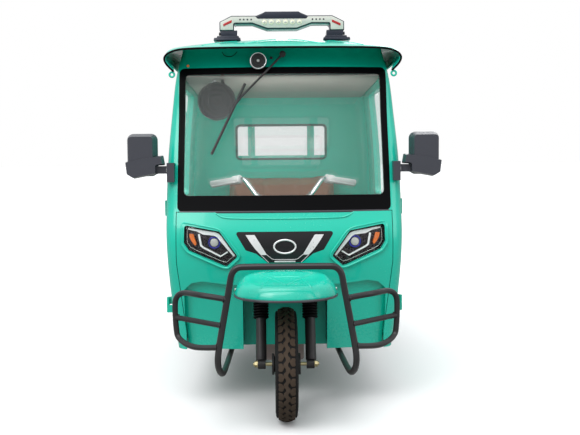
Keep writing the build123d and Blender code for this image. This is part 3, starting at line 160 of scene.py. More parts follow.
# a slow drift of shade over a whole panel, with fine specks in the gloss
mottle, mottleIn, mottleOut = startGroup("surfaceMottle", {"Vector": "Vector", "Color": "Color", "Drift": 0.1,
    "Scale": 3.0, "Roughness": 0.3, "Spread": 0.1}, {"Color": "Color", "Roughness": "Float"})
slow = noiseNode(mottle, mottleIn["Vector"], mottleIn["Scale"], 5)
fine = noiseNode(mottle, mottleIn["Vector"], 90, 3)
shade = mathNode(mottle, "SUBTRACT", slow, 0.5)
shade = mathNode(mottle, "MULTIPLY", shade, mottleIn["Drift"])
shade = mathNode(mottle, "ADD", shade, 1.0)
tone = mottle.nodes.new("ShaderNodeHueSaturation")
mottle.links.new(mottleIn["Color"], tone.inputs["Color"])
mottle.links.new(shade, tone.inputs["Value"])
gloss = mathNode(mottle, "ADD", slow, fine)
gloss = mathNode(mottle, "SUBTRACT", gloss, 1.0)
gloss = mathNode(mottle, "MULTIPLY", gloss, mottleIn["Spread"])
gloss = mathNode(mottle, "ADD", gloss, mottleIn["Roughness"], clamp=True)
mottle.links.new(tone.outputs["Color"], mottleOut["Color"])
mottle.links.new(gloss, mottleOut["Roughness"])

# road dust that fades with height and gathers in patches
dust, dustIn, dustOut = startGroup("roadDust", {"Vector": "Vector", "Color": "Color", "Roughness": 0.3,
    "Dust": "Color", "Amount": 0.3, "Top": 0.7}, {"Color": "Color", "Roughness": "Float"})
split = dust.nodes.new("ShaderNodeSeparateXYZ")
dust.links.new(dustIn["Vector"], split.inputs["Vector"])
reach = mathNode(dust, "DIVIDE", split.outputs["Z"], dustIn["Top"])
reach = mathNode(dust, "SUBTRACT", 1.0, reach, clamp=True)
patches = noiseNode(dust, dustIn["Vector"], 14, 6, 0.65)
veil = mathNode(dust, "MULTIPLY", reach, patches)
veil = mathNode(dust, "MULTIPLY", veil, dustIn["Amount"], clamp=True)
coated = mixColor(dust, veil, dustIn["Color"], dustIn["Dust"])
dust.links.new(coated, dustOut["Color"])
dust.links.new(mathNode(dust, "ADD", dustIn["Roughness"], veil, clamp=True), dustOut["Roughness"])

# moulded grain: small cells broken up by noise, as a height
grain, grainIn, grainOut = startGroup("mouldedGrain", {"Vector": "Vector", "Scale": 400.0, "Crease": 0.5},
    {"Height": "Float"})
cells = grain.nodes.new("ShaderNodeTexVoronoi")
cells.feature = "DISTANCE_TO_EDGE"
grain.links.new(grainIn["Vector"], cells.inputs["Vector"])
grain.links.new(grainIn["Scale"], cells.inputs["Scale"])
creased = mathNode(grain, "MULTIPLY", cells.outputs["Distance"], grainIn["Crease"])
loose = noiseNode(grain, grainIn["Vector"], mathNode(grain, "MULTIPLY", grainIn["Scale"], 0.35), 3)
grain.links.new(mathNode(grain, "ADD", creased, loose), grainOut["Height"])

# brushed or drawn metal: noise stretched along one axis
brush, brushIn, brushOut = startGroup("drawnLines", {"Vector": "Vector", "Stretch": (1, 1, 1)}, {"Height": "Float"})
stretched = brush.nodes.new("ShaderNodeVectorMath")
stretched.operation = "MULTIPLY"
brush.links.new(brushIn["Vector"], stretched.inputs[0])
brush.links.new(brushIn["Stretch"], stretched.inputs[1])
brush.links.new(noiseNode(brush, stretched.outputs[0], 10, 3), brushOut["Height"])
print("shared effects made")

dustColor = (0.42, 0.39, 0.34, 1)
groups = {"mottle": mottle, "dust": dust, "grain": grain, "brush": brush}


def placeGroup(tree, group, vector, **values):
    node = tree.nodes.new("ShaderNodeGroup")
    node.node_tree = group
    tree.links.new(vector, node.inputs["Vector"])
    for label, value in values.items():
        feed(tree, node.inputs[label], value)
    return node


finishes = {}


def makeFinish(name, color, roughness, metallic=0.0, drift=(0.12, 3), spread=0.12, grain=(0, 0),
        crease=0.5, dust=(0, 0.8), coat=0.0, lines=None, transmission=0.0, ior=1.5, alpha=1.0, glow=0.0,
        specular=0.5):
    # one finish: a drifting colour and gloss, dust low down, and grain or drawn lines as bump
    material = bpy.data.materials.new(name)
    material.use_nodes = True
    tree = material.node_tree
    shader = tree.nodes["Principled BSDF"]
    place = tree.nodes.new("ShaderNodeTexCoord").outputs["Object"]
    layer = placeGroup(tree, groups["mottle"], place, Color=(*color, 1), Drift=drift[0], Scale=drift[1],
        Roughness=roughness, Spread=spread)
    if dust[0]:
        layer = placeGroup(tree, groups["dust"], place, Color=layer.outputs["Color"],
            Roughness=layer.outputs["Roughness"], Dust=dustColor, Amount=dust[0], Top=dust[1])
    tree.links.new(layer.outputs["Color"], shader.inputs["Base Color"])
    tree.links.new(layer.outputs["Roughness"], shader.inputs["Roughness"])
    for label, value in (("Metallic", metallic), ("Coat Weight", coat), ("Coat Roughness", 0.06),
            ("Transmission Weight", transmission), ("IOR", ior), ("Alpha", alpha), ("Specular IOR Level", specular)):
        shader.inputs[label].default_value = value
    if glow:
        tree.links.new(layer.outputs["Color"], shader.inputs["Emission Color"])
        shader.inputs["Emission Strength"].default_value = glow
    if grain[0] or lines:
        if grain[0]:
            height = placeGroup(tree, groups["grain"], place, Scale=grain[0], Crease=crease).outputs["Height"]
        else:
            height = placeGroup(tree, groups["brush"], place, Stretch=lines).outputs["Height"]
        bump = tree.nodes.new("ShaderNodeBump")
        bump.inputs["Strength"].default_value = 1.0
        bump.inputs["Distance"].default_value = grain[1]
        tree.links.new(height, bump.inputs["Height"])
        tree.links.new(bump.outputs["Normal"], shader.inputs["Normal"])
    finishes[name] = material
    return material


makeFinish("bodyPaint", (0.0, 0.5, 0.36), 0.26, drift=(0.1, 1.6), grain=(260, 0.00004), dust=(0.1, 0.45),
    coat=0.4, spread=0.06)
makeFinish("cabLining", (0.002, 0.36, 0.26), 0.45, drift=(0.14, 4), grain=(300, 0.0001))
makeFinish("chassisPaint", (0.028, 0.029, 0.032), 0.45, grain=(180, 0.0002), dust=(1.1, 0.75))
makeFinish("tubePaint", (0.015, 0.014, 0.016), 0.36, grain=(500, 0.00006), dust=(0.12, 0.55), spread=0.16, specular=0.4)
makeFinish("darkPlastic", (0.022, 0.022, 0.024), 0.48, grain=(900, 0.0002), dust=(0.25, 0.9))
makeFinish("glossBlack", (0.01, 0.009, 0.011), 0.3, grain=(120, 0.00003), coat=0.1, spread=0.08, specular=0.35)
makeFinish("linerPlastic", (0.012, 0.012, 0.013), 0.62, drift=(0.3, 9), grain=(420, 0.0003), dust=(0.1, 0.8),
    specular=0.2)
makeFinish("chromePlate", (0.8, 0.81, 0.83), 0.1, drift=(0.05, 3), grain=(0, 0.00002),
    metallic=1, spread=0.08, lines=(8, 8, 40))
makeFinish("zincSteel", (0.58, 0.5, 0.28), 0.34, drift=(0.3, 30), grain=(300, 0.0001), metallic=1, spread=0.2)
makeFinish("paleSteel", (0.6, 0.6, 0.59), 0.36, drift=(0.2, 20), grain=(0, 0.00008),
    metallic=1, spread=0.2, lines=(60, 4, 60))
makeFinish("castPaint", (0.03, 0.031, 0.034), 0.58, drift=(0.4, 12), grain=(140, 0.0006), dust=(1.3, 0.6))
# window glass: a pale diffuse part beside the transmission, a painted haze of the sky's reflection
makeFinish("screenGlassHaze", (0.9, 0.95, 0.93), 0.03, drift=(0.05, 3), transmission=0.78, ior=1.2, alpha=0.17, spread=0.01)
makeFinish("lampGlass", (0.85, 0.89, 0.9), 0.03, drift=(0.03, 3), transmission=1.0, ior=1.4, alpha=0.3, spread=0.02)
makeFinish("mirrorFace", (0.88, 0.9, 0.92), 0.03, drift=(0.02, 3), metallic=1, spread=0.02)
makeFinish("sealRubber", (0.002, 0.002, 0.0025), 0.5, grain=(700, 0.0001), dust=(0.02, 0.8), specular=0.06)
makeFinish("tyreRubber", (0.006, 0.006, 0.007), 0.66, drift=(0.25, 12), grain=(380, 0.0003), dust=(0.05, 0.7),
    specular=0.14)
makeFinish("flapRubber", (0.36, 0.28, 0.27), 0.75, drift=(0.3, 18), grain=(300, 0.0003), dust=(0.6, 0.5))
makeFinish("seatLeather", (0.2, 0.085, 0.04), 0.46, drift=(0.22, 7), grain=(260, 0.0005), crease=1.2)
makeFinish("lampWhite", (0.62, 0.61, 0.56), 0.3, drift=(0.1, 14), grain=(160, 0.0001))
makeFinish("lampRed", (0.45, 0.012, 0.012), 0.16, drift=(0.15, 20), grain=(160, 0.0002), coat=0.6)
makeFinish("treadRubber", (0.046, 0.03, 0.02), 0.82, drift=(0.6, 16), grain=(420, 0.0004), dust=(0.12, 0.8),
    specular=0.12)
# mirror housings: dark plastic lifted to a bluish grey, a painted sheen
makeFinish("mirrorShellSheen", (0.045, 0.047, 0.06), 0.36, grain=(1100, 0.0002), spread=0.14)
makeFinish("lampReflector", (0.05, 0.042, 0.046), 0.26, drift=(0.5, 60), grain=(300, 0.0006), metallic=0.85, spread=0.3)
makeFinish("lampStrip", (0.84, 0.85, 0.84), 0.3, drift=(0.1, 20), grain=(300, 0.0001), glow=0.1)
makeFinish("barShell", (0.01, 0.014, 0.03), 0.3, grain=(300, 0.0001), coat=0.3, spread=0.1)
makeFinish("stripSilver", (0.86, 0.84, 0.85), 0.3, drift=(0.1, 24), grain=(0, 0.00003),
    metallic=0.35, lines=(20, 8, 60))
# bead rubber: dark rubber made greyer and lighter than the seals, a painted highlight along its curve
makeFinish("sealBead", (0.05, 0.046, 0.056), 0.34, grain=(500, 0.0001))
makeFinish("gripGrey", (0.42, 0.43, 0.42), 0.4, drift=(0.2, 30), grain=(700, 0.0002))
makeFinish("lampAmber", (0.8, 0.17, 0.015), 0.2, drift=(0.5, 60), grain=(300, 0.0003), coat=0.5, glow=0.05)
makeFinish("lampBulb", (0.62, 0.62, 0.58), 0.12, drift=(0.5, 120), grain=(500, 0.0002),
    metallic=0.4, coat=0.8, glow=0.05)
makeFinish("lampBlue", (0.03, 0.03, 0.42), 0.18, drift=(0.3, 60), grain=(400, 0.0001), metallic=0.5, coat=0.6)
makeFinish("lampCream", (0.8, 0.76, 0.58), 0.25, drift=(0.25, 120), grain=(500, 0.0002), coat=0.5)
makeFinish("headlinerCloth", (0.36, 0.34, 0.31), 0.85, drift=(0.15, 8), grain=(900, 0.0003))
makeFinish("bedSheet", (0.002, 0.38, 0.27), 0.38, drift=(0.25, 6), grain=(90, 0.0003), dust=(0.6, 1.0), spread=0.2)
print("finishes made:", len(finishes))

nodeFinish = {
    "bodyPaint": "front_fascia cab_frame roof_panel door_left door_right front_fender bed_side_left "
                 "bed_side_right tailgate bed_headboard cab_back",
    "cabLining": "cab_floor", "chassisPaint": "chassis_frame leaf_springs steering_stem seat_box",
    "tubePaint": "bumper_bar fork_legs front_rim rear_rim_left rear_rim_right",
    "darkPlastic": "wiper dashboard brake_pedal rear_mudguards charging_cover", "mirrorShellSheen": "mirrors",
    "barShell": "light_bar", "gripGrey": "handlebar_controls",
    "glossBlack": "nose_trim headlamp_housings header_horn", "linerPlastic": "wheel_well cab_fan",
    "chromePlate": "nose_chrome handlebar", "zincSteel": "front_axle", "castPaint": "battery_pack rear_axle",
    "screenGlassHaze": "cab_glass door_left_glass door_right_glass", "lampGlass": "headlamp_lenses",
    "mirrorFace": "mirror_glass", "sealRubber": "window_seals fork_boots fender_edge",
    "tyreRubber": "front_tyre rear_tyre_left rear_tyre_right", "flapRubber": "mud_flap",
    "seatLeather": "seat_cushion seat_back", "lampWhite": "light_bar_lens", "lampRed": "tail_lights",
    "bedSheet": "bed_floor"}
nodeFinish = {finish: names.split() for finish, names in nodeFinish.items()}
for finish, names in nodeFinish.items():
    for name in names:
        part = nodes[name]
        part.data.materials.clear()
        part.data.materials.append(finishes[finish])
missing = sorted(set(nodes) - {name for names in nodeFinish.values() for name in names})
print("nodes without a finish:", missing)

# ways of making the new pieces
def pickNone():
    if bpy.context.object and bpy.context.object.mode != "OBJECT":
        bpy.ops.object.mode_set(mode="OBJECT")
    bpy.ops.object.select_all(action="DESELECT")


def pick(piece):
    pickNone()
    piece.select_set(True)
    bpy.context.view_layer.objects.active = piece


def editAll(piece):
    pick(piece)
    bpy.ops.object.mode_set(mode="EDIT")
    bpy.ops.mesh.select_all(action="SELECT")


def faceOut(piece, merge=0):
    # its faces turn outwards, once corners in the same place are merged
    editAll(piece)
    if merge:
        bpy.ops.mesh.remove_doubles(threshold=merge)
    bpy.ops.mesh.normals_make_consistent(inside=False)
    pickNone()


def push(outwards):
    # the selected faces are pushed out into a solid
    bpy.ops.mesh.extrude_region_move(TRANSFORM_OT_translate={"value": outwards})
    bpy.ops.mesh.select_all(action="SELECT")
    bpy.ops.mesh.normals_make_consistent(inside=False)


def flatPiece(name, outline):
    # one flat face from its corners
    pickNone()
    bpy.ops.mesh.primitive_circle_add(vertices=len(outline), radius=1, fill_type="NGON")
    piece = named(name)
    for vertex, spot in zip(piece.data.vertices, outline):
        vertex.co = spot
    editAll(piece)
    return piece


def named(name):
    piece = bpy.context.object
    piece.name = name
    piece.data.name = name
    return piece


def addModifier(piece, kind, **values):
    modifier = piece.modifiers.new(kind.title(), kind)
    for label, value in values.items():
        setattr(modifier, label, value)
    return modifier


def applyAll(piece):
    pick(piece)
    for modifier in list(piece.modifiers):
        bpy.ops.object.modifier_apply(modifier=modifier.name)


def roundEdges(piece, width, segments=2, angle=35):
    addModifier(piece, "BEVEL", width=width, segments=segments, limit_method="ANGLE", angle_limit=math.radians(angle))
    applyAll(piece)


def settle(piece, smooth=35):
    # its place goes into its mesh and its round sides are smoothed
    pick(piece)
    bpy.ops.object.transform_apply(location=True, rotation=True, scale=True)
    if smooth:
        bpy.ops.object.shade_smooth_by_angle(angle=math.radians(smooth))
    return piece


# the slot that goes with each finish
usualSlot = {"body_paint": "bodyPaint", "tyre_rubber": "tyreRubber treadRubber",
    "gloss_black": "lampReflector lampBlue glossBlack", "lamp_white": "lampStrip lampWhite lampCream",
    "lamp_lens": "lampAmber lampBulb", "lamp_red": "lampRed", "chrome_trim": "stripSilver chromePlate",
    "seal_rubber": "sealBead sealRubber", "dark_plastic": "barShell darkPlastic linerPlastic",
    "chassis_paint": "chassisPaint", "black_tube": "tubePaint", "bright_steel": "zincSteel paleSteel",
    "seat_leather": "seatLeather", "liner_plastic": "headlinerCloth"}
usualSlot = {finish: slot for slot, names in usualSlot.items() for finish in names.split()}


def dress(piece, finish, body="vehicle", slot=None):
    piece.data.materials.clear()
    piece.data.materials.append(finishes[finish])
    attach(piece, body)
    slot or usualSlot[finish]
    return piece


def joined(name, pieces):
    pickNone()
    for piece in pieces:
        piece.select_set(True)
    bpy.context.view_layer.objects.active = pieces[0]
    if len(pieces) > 1:
        bpy.ops.object.join()
    return named(name)


def copied(piece, turn=None, move=None):
    pick(piece)
    bpy.ops.object.duplicate()
    twin = bpy.context.object
    matrix = Matrix.Identity(4)
    if turn:
        matrix = turn @ matrix
    if move:
        matrix = Matrix.Translation(move) @ matrix
    twin.data.transform(matrix @ twin.matrix_world)
    twin.matrix_world = Matrix.Identity(4)
    return twin


def hitY(node, x, z):
    # how far back a front surface lies at a place seen from the front
    found, spot, _, _ = nodes[node].ray_cast(Vector((x, -3, z)), Vector((0, 1, 0)))
    return spot.y if found else None


def hitZ(piece, x, y):
    # how high a piece's upper surface lies at a place seen from above
    found, spot, _, _ = piece.ray_cast(Vector((x, y, 3.0)), Vector((0, 0, -1)))
    return spot.z if found else None


def ribOn(name, piece, ends, radius, rise, count=9):
    # a raised rib that follows a piece's upper surface from one place to the next
    spots = []
    for (startX, startY), (endX, endY) in zip(ends, ends[1:]):
        for step in range(count):
            part = step / (count - 1)
            x, y = startX + (endX - startX) * part, startY + (endY - startY) * part
            height = hitZ(piece, x, y)
            if height is not None and (not spots or (Vector(spots[-1]).xy - Vector((x, y))).length > 0.002):
                spots.append((x, y, height - radius + rise))
    return wire(name, spots, radius)


def faceUp(piece):
    # an open sheet's faces turn upwards
    if sum(polygon.normal.z * polygon.area for polygon in piece.data.polygons) < 0:
        piece.data.flip_normals()


def ringGrid(name, around, across, place):
    # a surface from a grid: place gives each crossing's spot from 0 to 1 around and 0 to 1 across
    pickNone()
    bpy.ops.mesh.primitive_grid_add(x_subdivisions=around, y_subdivisions=across, size=2)
    piece = named(name)
    for vertex in piece.data.vertices:
        vertex.co = place((vertex.co.x + 1) / 2, (vertex.co.y + 1) / 2)
    faceOut(piece, 0.00005)
    return piece


def acrossMiddle(half):
    # the right half of a path of two or three coordinates follows its left half
    return half + [(-spot[0], *spot[1:]) for spot in reversed(half)]


def ribbon(center, widths):
    # an outline on both sides of a bent middle line
    left, right = [], []
    for index, (x, z) in enumerate(center):
        before = Vector(center[max(index - 1, 0)])
        after = Vector(center[min(index + 1, len(center) - 1)])
        across = (after - before).normalized()
        across = Vector((-across.y, across.x)) * widths[index] / 2
        left.append((x + across.x, z + across.y))
        right.append((x - across.x, z - across.y))
    return left + right[::-1]


def grown(outline, distance):
    # the same outline moved outwards
    center = Vector((sum(x for x, z in outline) / len(outline), sum(z for x, z in outline) / len(outline)))
    bigger = []
    for index, spot in enumerate(outline):
        before, here = Vector(outline[index - 1]), Vector(spot)
        after = Vector(outline[(index + 1) % len(outline)])
        first = (here - before).normalized()
        second = (after - here).normalized()
        normals = [Vector((edge.y, -edge.x)) for edge in (first, second)]
        normals = [normal if normal.dot(here - center) > 0 else -normal for normal in normals]
        outwards = (normals[0] + normals[1]).normalized()
        bigger.append(tuple(here + outwards * distance / max(outwards.dot(normals[0]), 0.5)))
    return bigger


def plate(name, outline, y, depth, corner=0.0, cornerSegments=4, edge=0.0):
    # a flat plate from its outline seen from the front: its front face at y, its back depth further in
    piece = flatPiece(name, [(x, y, z) for x, z in outline])
    if corner:
        bpy.ops.mesh.bevel(offset=corner, segments=cornerSegments, affect="VERTICES")
    bpy.ops.mesh.select_all(action="SELECT")
    push((0, depth, 0))
    pickNone()
    if edge:
        roundEdges(piece, edge)
    return settle(piece)


def drape(piece, node, offset, cell=0.02):
    # cuts the piece into cells and lays it on a CAD part's front, keeping its own depth
    xs = [v.co.x for v in piece.data.vertices]
    zs = [v.co.z for v in piece.data.vertices]
    front = min(v.co.y for v in piece.data.vertices)
    editAll(piece)
    for axis, low, high in ((0, min(xs), max(xs)), (2, min(zs), max(zs))):
        count = int((high - low) / cell)
        for step in range(1, count + 1):
            at = low + (high - low) * step / (count + 1)
            spot = [0, 0, 0]
            spot[axis] = at
            normal = [0, 0, 0]
            normal[axis] = 1
            bpy.ops.mesh.select_all(action="SELECT")
            bpy.ops.mesh.bisect(plane_co=spot, plane_no=normal)
    pickNone()
    depths = {vertex.index: hitY(node, vertex.co.x, vertex.co.z) for vertex in piece.data.vertices}
    struck = [vertex.index for vertex in piece.data.vertices if depths[vertex.index] is not None]
    flat = {index: piece.data.vertices[index].co.xz for index in struck}
    for vertex in piece.data.vertices:
        back = depths[vertex.index]
        if back is None:  # off the part's edge: the nearest depth found
            back = depths[min(struck, key=lambda index: (flat[index] - vertex.co.xz).length)]
        vertex.co.y += back + offset - front
    return settle(piece)


def bar(name, start, end, radius, sides=16):
    # a round bar between two points
    start, end = Vector(start), Vector(end)
    pickNone()
    bpy.ops.mesh.primitive_cylinder_add(vertices=sides, radius=radius, depth=(end - start).length,
        location=(start + end) / 2, rotation=(end - start).to_track_quat("Z", "Y").to_euler())
    return named(name)


def ringAt(name, center, radius, thick, steps=48, around=12, turn=(math.pi / 2, 0, 0)):
    # a round ring about a place, facing forwards unless it is turned
    pickNone()
    bpy.ops.mesh.primitive_torus_add(location=center, rotation=turn, major_radius=radius, minor_radius=thick,
        major_segments=steps, minor_segments=around)
    return named(name)


def disc(name, center, direction, radius, depth, edge=0.0, sides=32):
    # a short round piece from a centre, along a direction
    direction = Vector(direction).normalized()
    piece = bar(name, center, Vector(center) + direction * depth, radius, sides)
    if edge:
        roundEdges(piece, edge)
    return settle(piece)


def wire(name, points, radius, closed=False, resolution=6):
    # a smooth round wire through its points, as a mesh
    pickNone()
    bpy.ops.curve.primitive_nurbs_path_add()
    route = bpy.context.object
    route.data.splines.clear()
    spline = route.data.splines.new("NURBS")
    spline.points.add(len(points) - 1)
    for point, spot in zip(spline.points, points):
        point.co = (*spot, 1)
    spline.order_u = 3
    spline.use_endpoint_u = not closed
    spline.use_cyclic_u = closed
    route.data.bevel_depth = radius
    route.data.bevel_resolution = 3
    route.data.resolution_u = resolution
    route.data.use_fill_caps = True
    route.matrix_world = Matrix.Identity(4)
    bpy.ops.object.convert(target="MESH")
    piece = named(name)
    return settle(piece)


bothHands = ((1, "left"), (-1, "right"))
def metres(values):
    # a dictionary whose lists are written in millimetres
    def scaled(value):
        return value / 1000 if isinstance(value, (int, float)) else type(value)(scaled(item) for item in value)

    return {label: scaled(value) if isinstance(value, list) else value for label, value in values.items()}


print("tools ready")

# tyres: a carcass with side rings, hexagonal blocks and a wavy middle rib
tyre = {"radius": 0.243, "shoulder": 0.04, "shoulderDrop": 0.014, "rimRadius": 0.1525, "halfRim": 0.034,
    "bulge": 0.048, "grooveDepth": 0.0055, "blockCount": 36, "blockOffset": 0.0235, "blockWidth": 0.0235,
    "blockLength": 0.0345, "ribWidth": 0.019, "ribWave": 0.0048}
crownRadius = (tyre["shoulder"] ** 2 + tyre["shoulderDrop"] ** 2) / (2 * tyre["shoulderDrop"])


def crownAt(x):
    return tyre["radius"] - crownRadius + math.sqrt(max(crownRadius ** 2 - x * x, 0))


def wrapOnCrown(piece):
    # a flat tread piece, across in X, along in Y and outwards in Z, bends round the tyre's crown
    for vertex in piece.data.vertices:
        x, along, out = vertex.co
        turn = along / tyre["radius"]
        radius = crownAt(x) - tyre["grooveDepth"] + out
        vertex.co = (x * (1 + 0.3 * (out - tyre["grooveDepth"])), -math.sin(turn) * radius, math.cos(turn) * radius)


def makeCarcass():
    half, bulge, groove = tyre["halfRim"], tyre["bulge"], tyre["grooveDepth"]
    side = [(half, tyre["rimRadius"]), (half + 0.001, 0.162), (half + 0.0035, 0.166), (half + 0.0065, 0.171),
        (half + 0.0065, 0.174), (bulge - 0.0045, 0.183), (bulge - 0.0015, 0.192), (bulge - 0.0006, 0.196),
        (bulge - 0.0006, 0.202), (bulge - 0.0016, 0.206), (bulge - 0.0018, 0.212), (bulge - 0.003, 0.219),
        (0.0415, 0.2275 - groove * 0.3), (0.0365, crownAt(0.0365) - groove)]
    crown = [(x / 1000, crownAt(x / 1000) - groove) for x in (30, 22, 14, 7, 0)]
    right = side + crown
    profile = right + [(-x, r) for x, r in reversed(right[:-1])]
    pickNone()
    bpy.ops.mesh.primitive_circle_add(vertices=len(profile), radius=1, fill_type="NOTHING")
    carcass = named("carcass")
    for vertex, (x, radius) in zip(carcass.data.vertices, profile):
        vertex.co = (x, 0, radius)
    editAll(carcass)
    bpy.ops.mesh.spin(steps=96, angle=2 * math.pi, center=(0, 0, 0), axis=(1, 0, 0))
    faceOut(carcass, 0.00005)
    return settle(carcass)


def makeTreadBlock():
    width, length = tyre["blockWidth"], tyre["blockLength"]
    outline = [(-0.36, -0.5), (0.12, -0.5), (0.34, -0.3), (0.52, 0.0), (0.34, 0.3), (0.12, 0.5), (-0.36, 0.5),
        (-0.5, 0.34), (-0.42, 0.0), (-0.5, -0.34)]
    block = flatPiece("treadBlock", [(across * width, along * length, 0) for across, along in outline])
    push((0, 0, tyre["grooveDepth"]))
    for along in (-0.25, 0.0, 0.25):
        bpy.ops.mesh.select_all(action="SELECT")
        bpy.ops.mesh.bisect(plane_co=(0, along * length, 0), plane_no=(0, 1, 0))
    pickNone()
    roundEdges(block, 0.0011, 2, 50)
    return block


def makeTread():
    pitch = 2 * math.pi / tyre["blockCount"]
    block = makeTreadBlock()
    parts = []
    for side in (1, -1):
        row = copied(block)
        for vertex in row.data.vertices:
            vertex.co.x = -side * vertex.co.x + side * tyre["blockOffset"]
        if side > 0:
            row.data.flip_normals()
        wrapOnCrown(row)
        for step in range(tyre["blockCount"]):
            turn = Matrix.Rotation((step + (0.5 if side > 0 else 0)) * pitch, 4, "X")
            parts.append(copied(row, turn=turn))
        bpy.data.objects.remove(row)
    bpy.data.objects.remove(block)
    pickNone()
    alongCount = tyre["blockCount"] * 8
    bpy.ops.mesh.primitive_grid_add(x_subdivisions=4, y_subdivisions=alongCount, size=2)
    rib = named("middleRib")
    for vertex in rib.data.vertices:
        u, v = vertex.co.x, vertex.co.y
        phase = (v + 1) / 2 * tyre["blockCount"]
        wave = math.sin(2 * math.pi * phase)
        wave = math.copysign(min(abs(wave) * 1.35, 1), wave)
        vertex.co = (u * tyre["ribWidth"] / 2 + wave * tyre["ribWave"], v * math.pi * tyre["radius"], 0)
    editAll(rib)
    push((0, 0, tyre["grooveDepth"]))
    pickNone()
    wrapOnCrown(rib)
    editAll(rib)
    bpy.ops.mesh.remove_doubles(threshold=0.00005)
    pickNone()
    roundEdges(rib, 0.001, 2, 60)
    parts.append(rib)
    return settle(joined("tread", parts))


carcassMaster = makeCarcass()
treadMaster = makeTread()
for node, body, center in (("front_tyre", "front_wheel", (0, frontAxleY)),
        ("rear_tyre_left", "rear_wheel_left", (0.475, 0.9)), ("rear_tyre_right", "rear_wheel_right", (-0.475, 0.9))):
    place = Vector((center[0], center[1], tyre["radius"]))
    carcass = copied(carcassMaster, move=place)
    carcass.name = node + "_carcass"
    settle(carcass)
    dress(carcass, "tyreRubber", body)
    tread = copied(treadMaster, move=place)
    tread.name = node + "_tread"
    settle(tread)
    dress(tread, "treadRubber", body)
    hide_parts(node)
for master in (carcassMaster, treadMaster):
    bpy.data.objects.remove(master)
print("tyres made")

# headlamps: light strips, projector, indicator and ribbed backing behind each lens
lamp = metres({"glassGap": 0.01, "projector": (0.3115, 0.7545), "projectorRadius": 0.0185, "ringRadius": 0.028,
    "indicator": [(424, 793), (403, 793), (399, 774), (390, 750), (396, 740), (410, 757), (420, 774)],
    "upperStrip": [(430, 818), (407, 817), (357, 808), (307, 800), (291, 794), (278, 780), (219, 696), (226, 693),
    (285, 762), (298, 778), (310, 785), (335, 788), (360, 790), (389, 804), (426, 812)],
    "lowerStrip": [(380, 792), (375, 767), (370, 741), (360, 733), (284, 694), (252, 714)],
    "lowerWidths": [8.5, 8.5, 8, 7, 6.5, 6],
    "backing": [(440, 752), (420, 724), (259, 655), (214, 695), (289, 798), (438, 826)],
    "outline": [(446, 754), (424, 721), (258, 649), (207, 695), (287, 805), (444, 833)],
    "lipOut": 0.0105, "lipRadius": 0.0048, "bezelIn": -0.013})
lamp["lowerOutline"] = ribbon(lamp["lowerStrip"], lamp["lowerWidths"])


def mirrored(outline, side):
    return [(side * x, z) for x, z in outline]


for side, name in bothHands:
    lampX, lampZ = side * lamp["projector"][0], lamp["projector"][1]
    back = hitY("headlamp_lenses", lampX, lampZ)
    backing = plate(f"lamp_{name}_backing", mirrored(lamp["backing"], side), 0, 0.003, corner=0.01)
    drape(backing, "headlamp_lenses", lamp["glassGap"] + 0.016, cell=0.012)
    for vertex in backing.data.vertices:  # pressed into shallow facets
        vertex.co.y += 0.0035 * math.sin(vertex.co.x * 260) * math.sin(vertex.co.z * 210)
    settle(backing)
    dress(backing, "lampReflector")
    for stripName, key in (("upper", "upperStrip"), ("lower", "lowerOutline")):
        strip = plate(f"lamp_{name}_{stripName}_strip", mirrored(lamp[key], side),
            0, 0.01, corner=0.0015, cornerSegments=2)
        drape(strip, "headlamp_lenses", lamp["glassGap"], cell=0.03)
        roundEdges(strip, 0.0012)
        dress(strip, "lampStrip")
    indicator = plate(f"lamp_{name}_indicator", mirrored(lamp["indicator"], side), 0, 0.012, corner=0.004)
    drape(indicator, "headlamp_lenses", lamp["glassGap"], cell=0.01)
    for vertex in indicator.data.vertices:  # fine upright prisms
        vertex.co.y += 0.0012 * math.sin(vertex.co.z * 1500)
    settle(indicator)
    dress(indicator, "lampAmber")
    dress(disc(f"lamp_{name}_projector", (lampX, back + 0.012, lampZ), (0, 1, 0), lamp["projectorRadius"],
        0.02, edge=0.006, sides=40), "lampBulb")
    dress(settle(ringAt(f"lamp_{name}_ring", (lampX, back + 0.02, lampZ),
        lamp["ringRadius"] - 0.004, 0.0042, 48, 12)), "lampBlue")
    dress(disc(f"lamp_{name}_shroud", (lampX, back + 0.017, lampZ), (0, 1, 0),
        lamp["ringRadius"] + 0.006, 0.012, edge=0.003, sides=40), "glossBlack")
    for loopName, outward, radius, surface, finish in (("lip", lamp["lipOut"], lamp["lipRadius"],
            "front_fascia", "bodyPaint"), ("bezel", lamp["bezelIn"], 0.0011, "headlamp_lenses", "lampBulb")):
        corners = grown(lamp["outline"], outward)
        spots = []
        for (startX, startZ), (endX, endZ) in zip(corners, corners[1:] + corners[:1]):
            for step in (0.1, 0.28, 0.5, 0.72, 0.9):
                x, z = side * (startX + (endX - startX) * step), startZ + (endZ - startZ) * step
                front = hitY(surface, x, z)
                if front is not None:
                    spots.append((x, front + (0.001 if loopName == "lip" else 0.013), z))
        dress(wire(f"lamp_{name}_{loopName}", spots, radius, closed=True), finish)

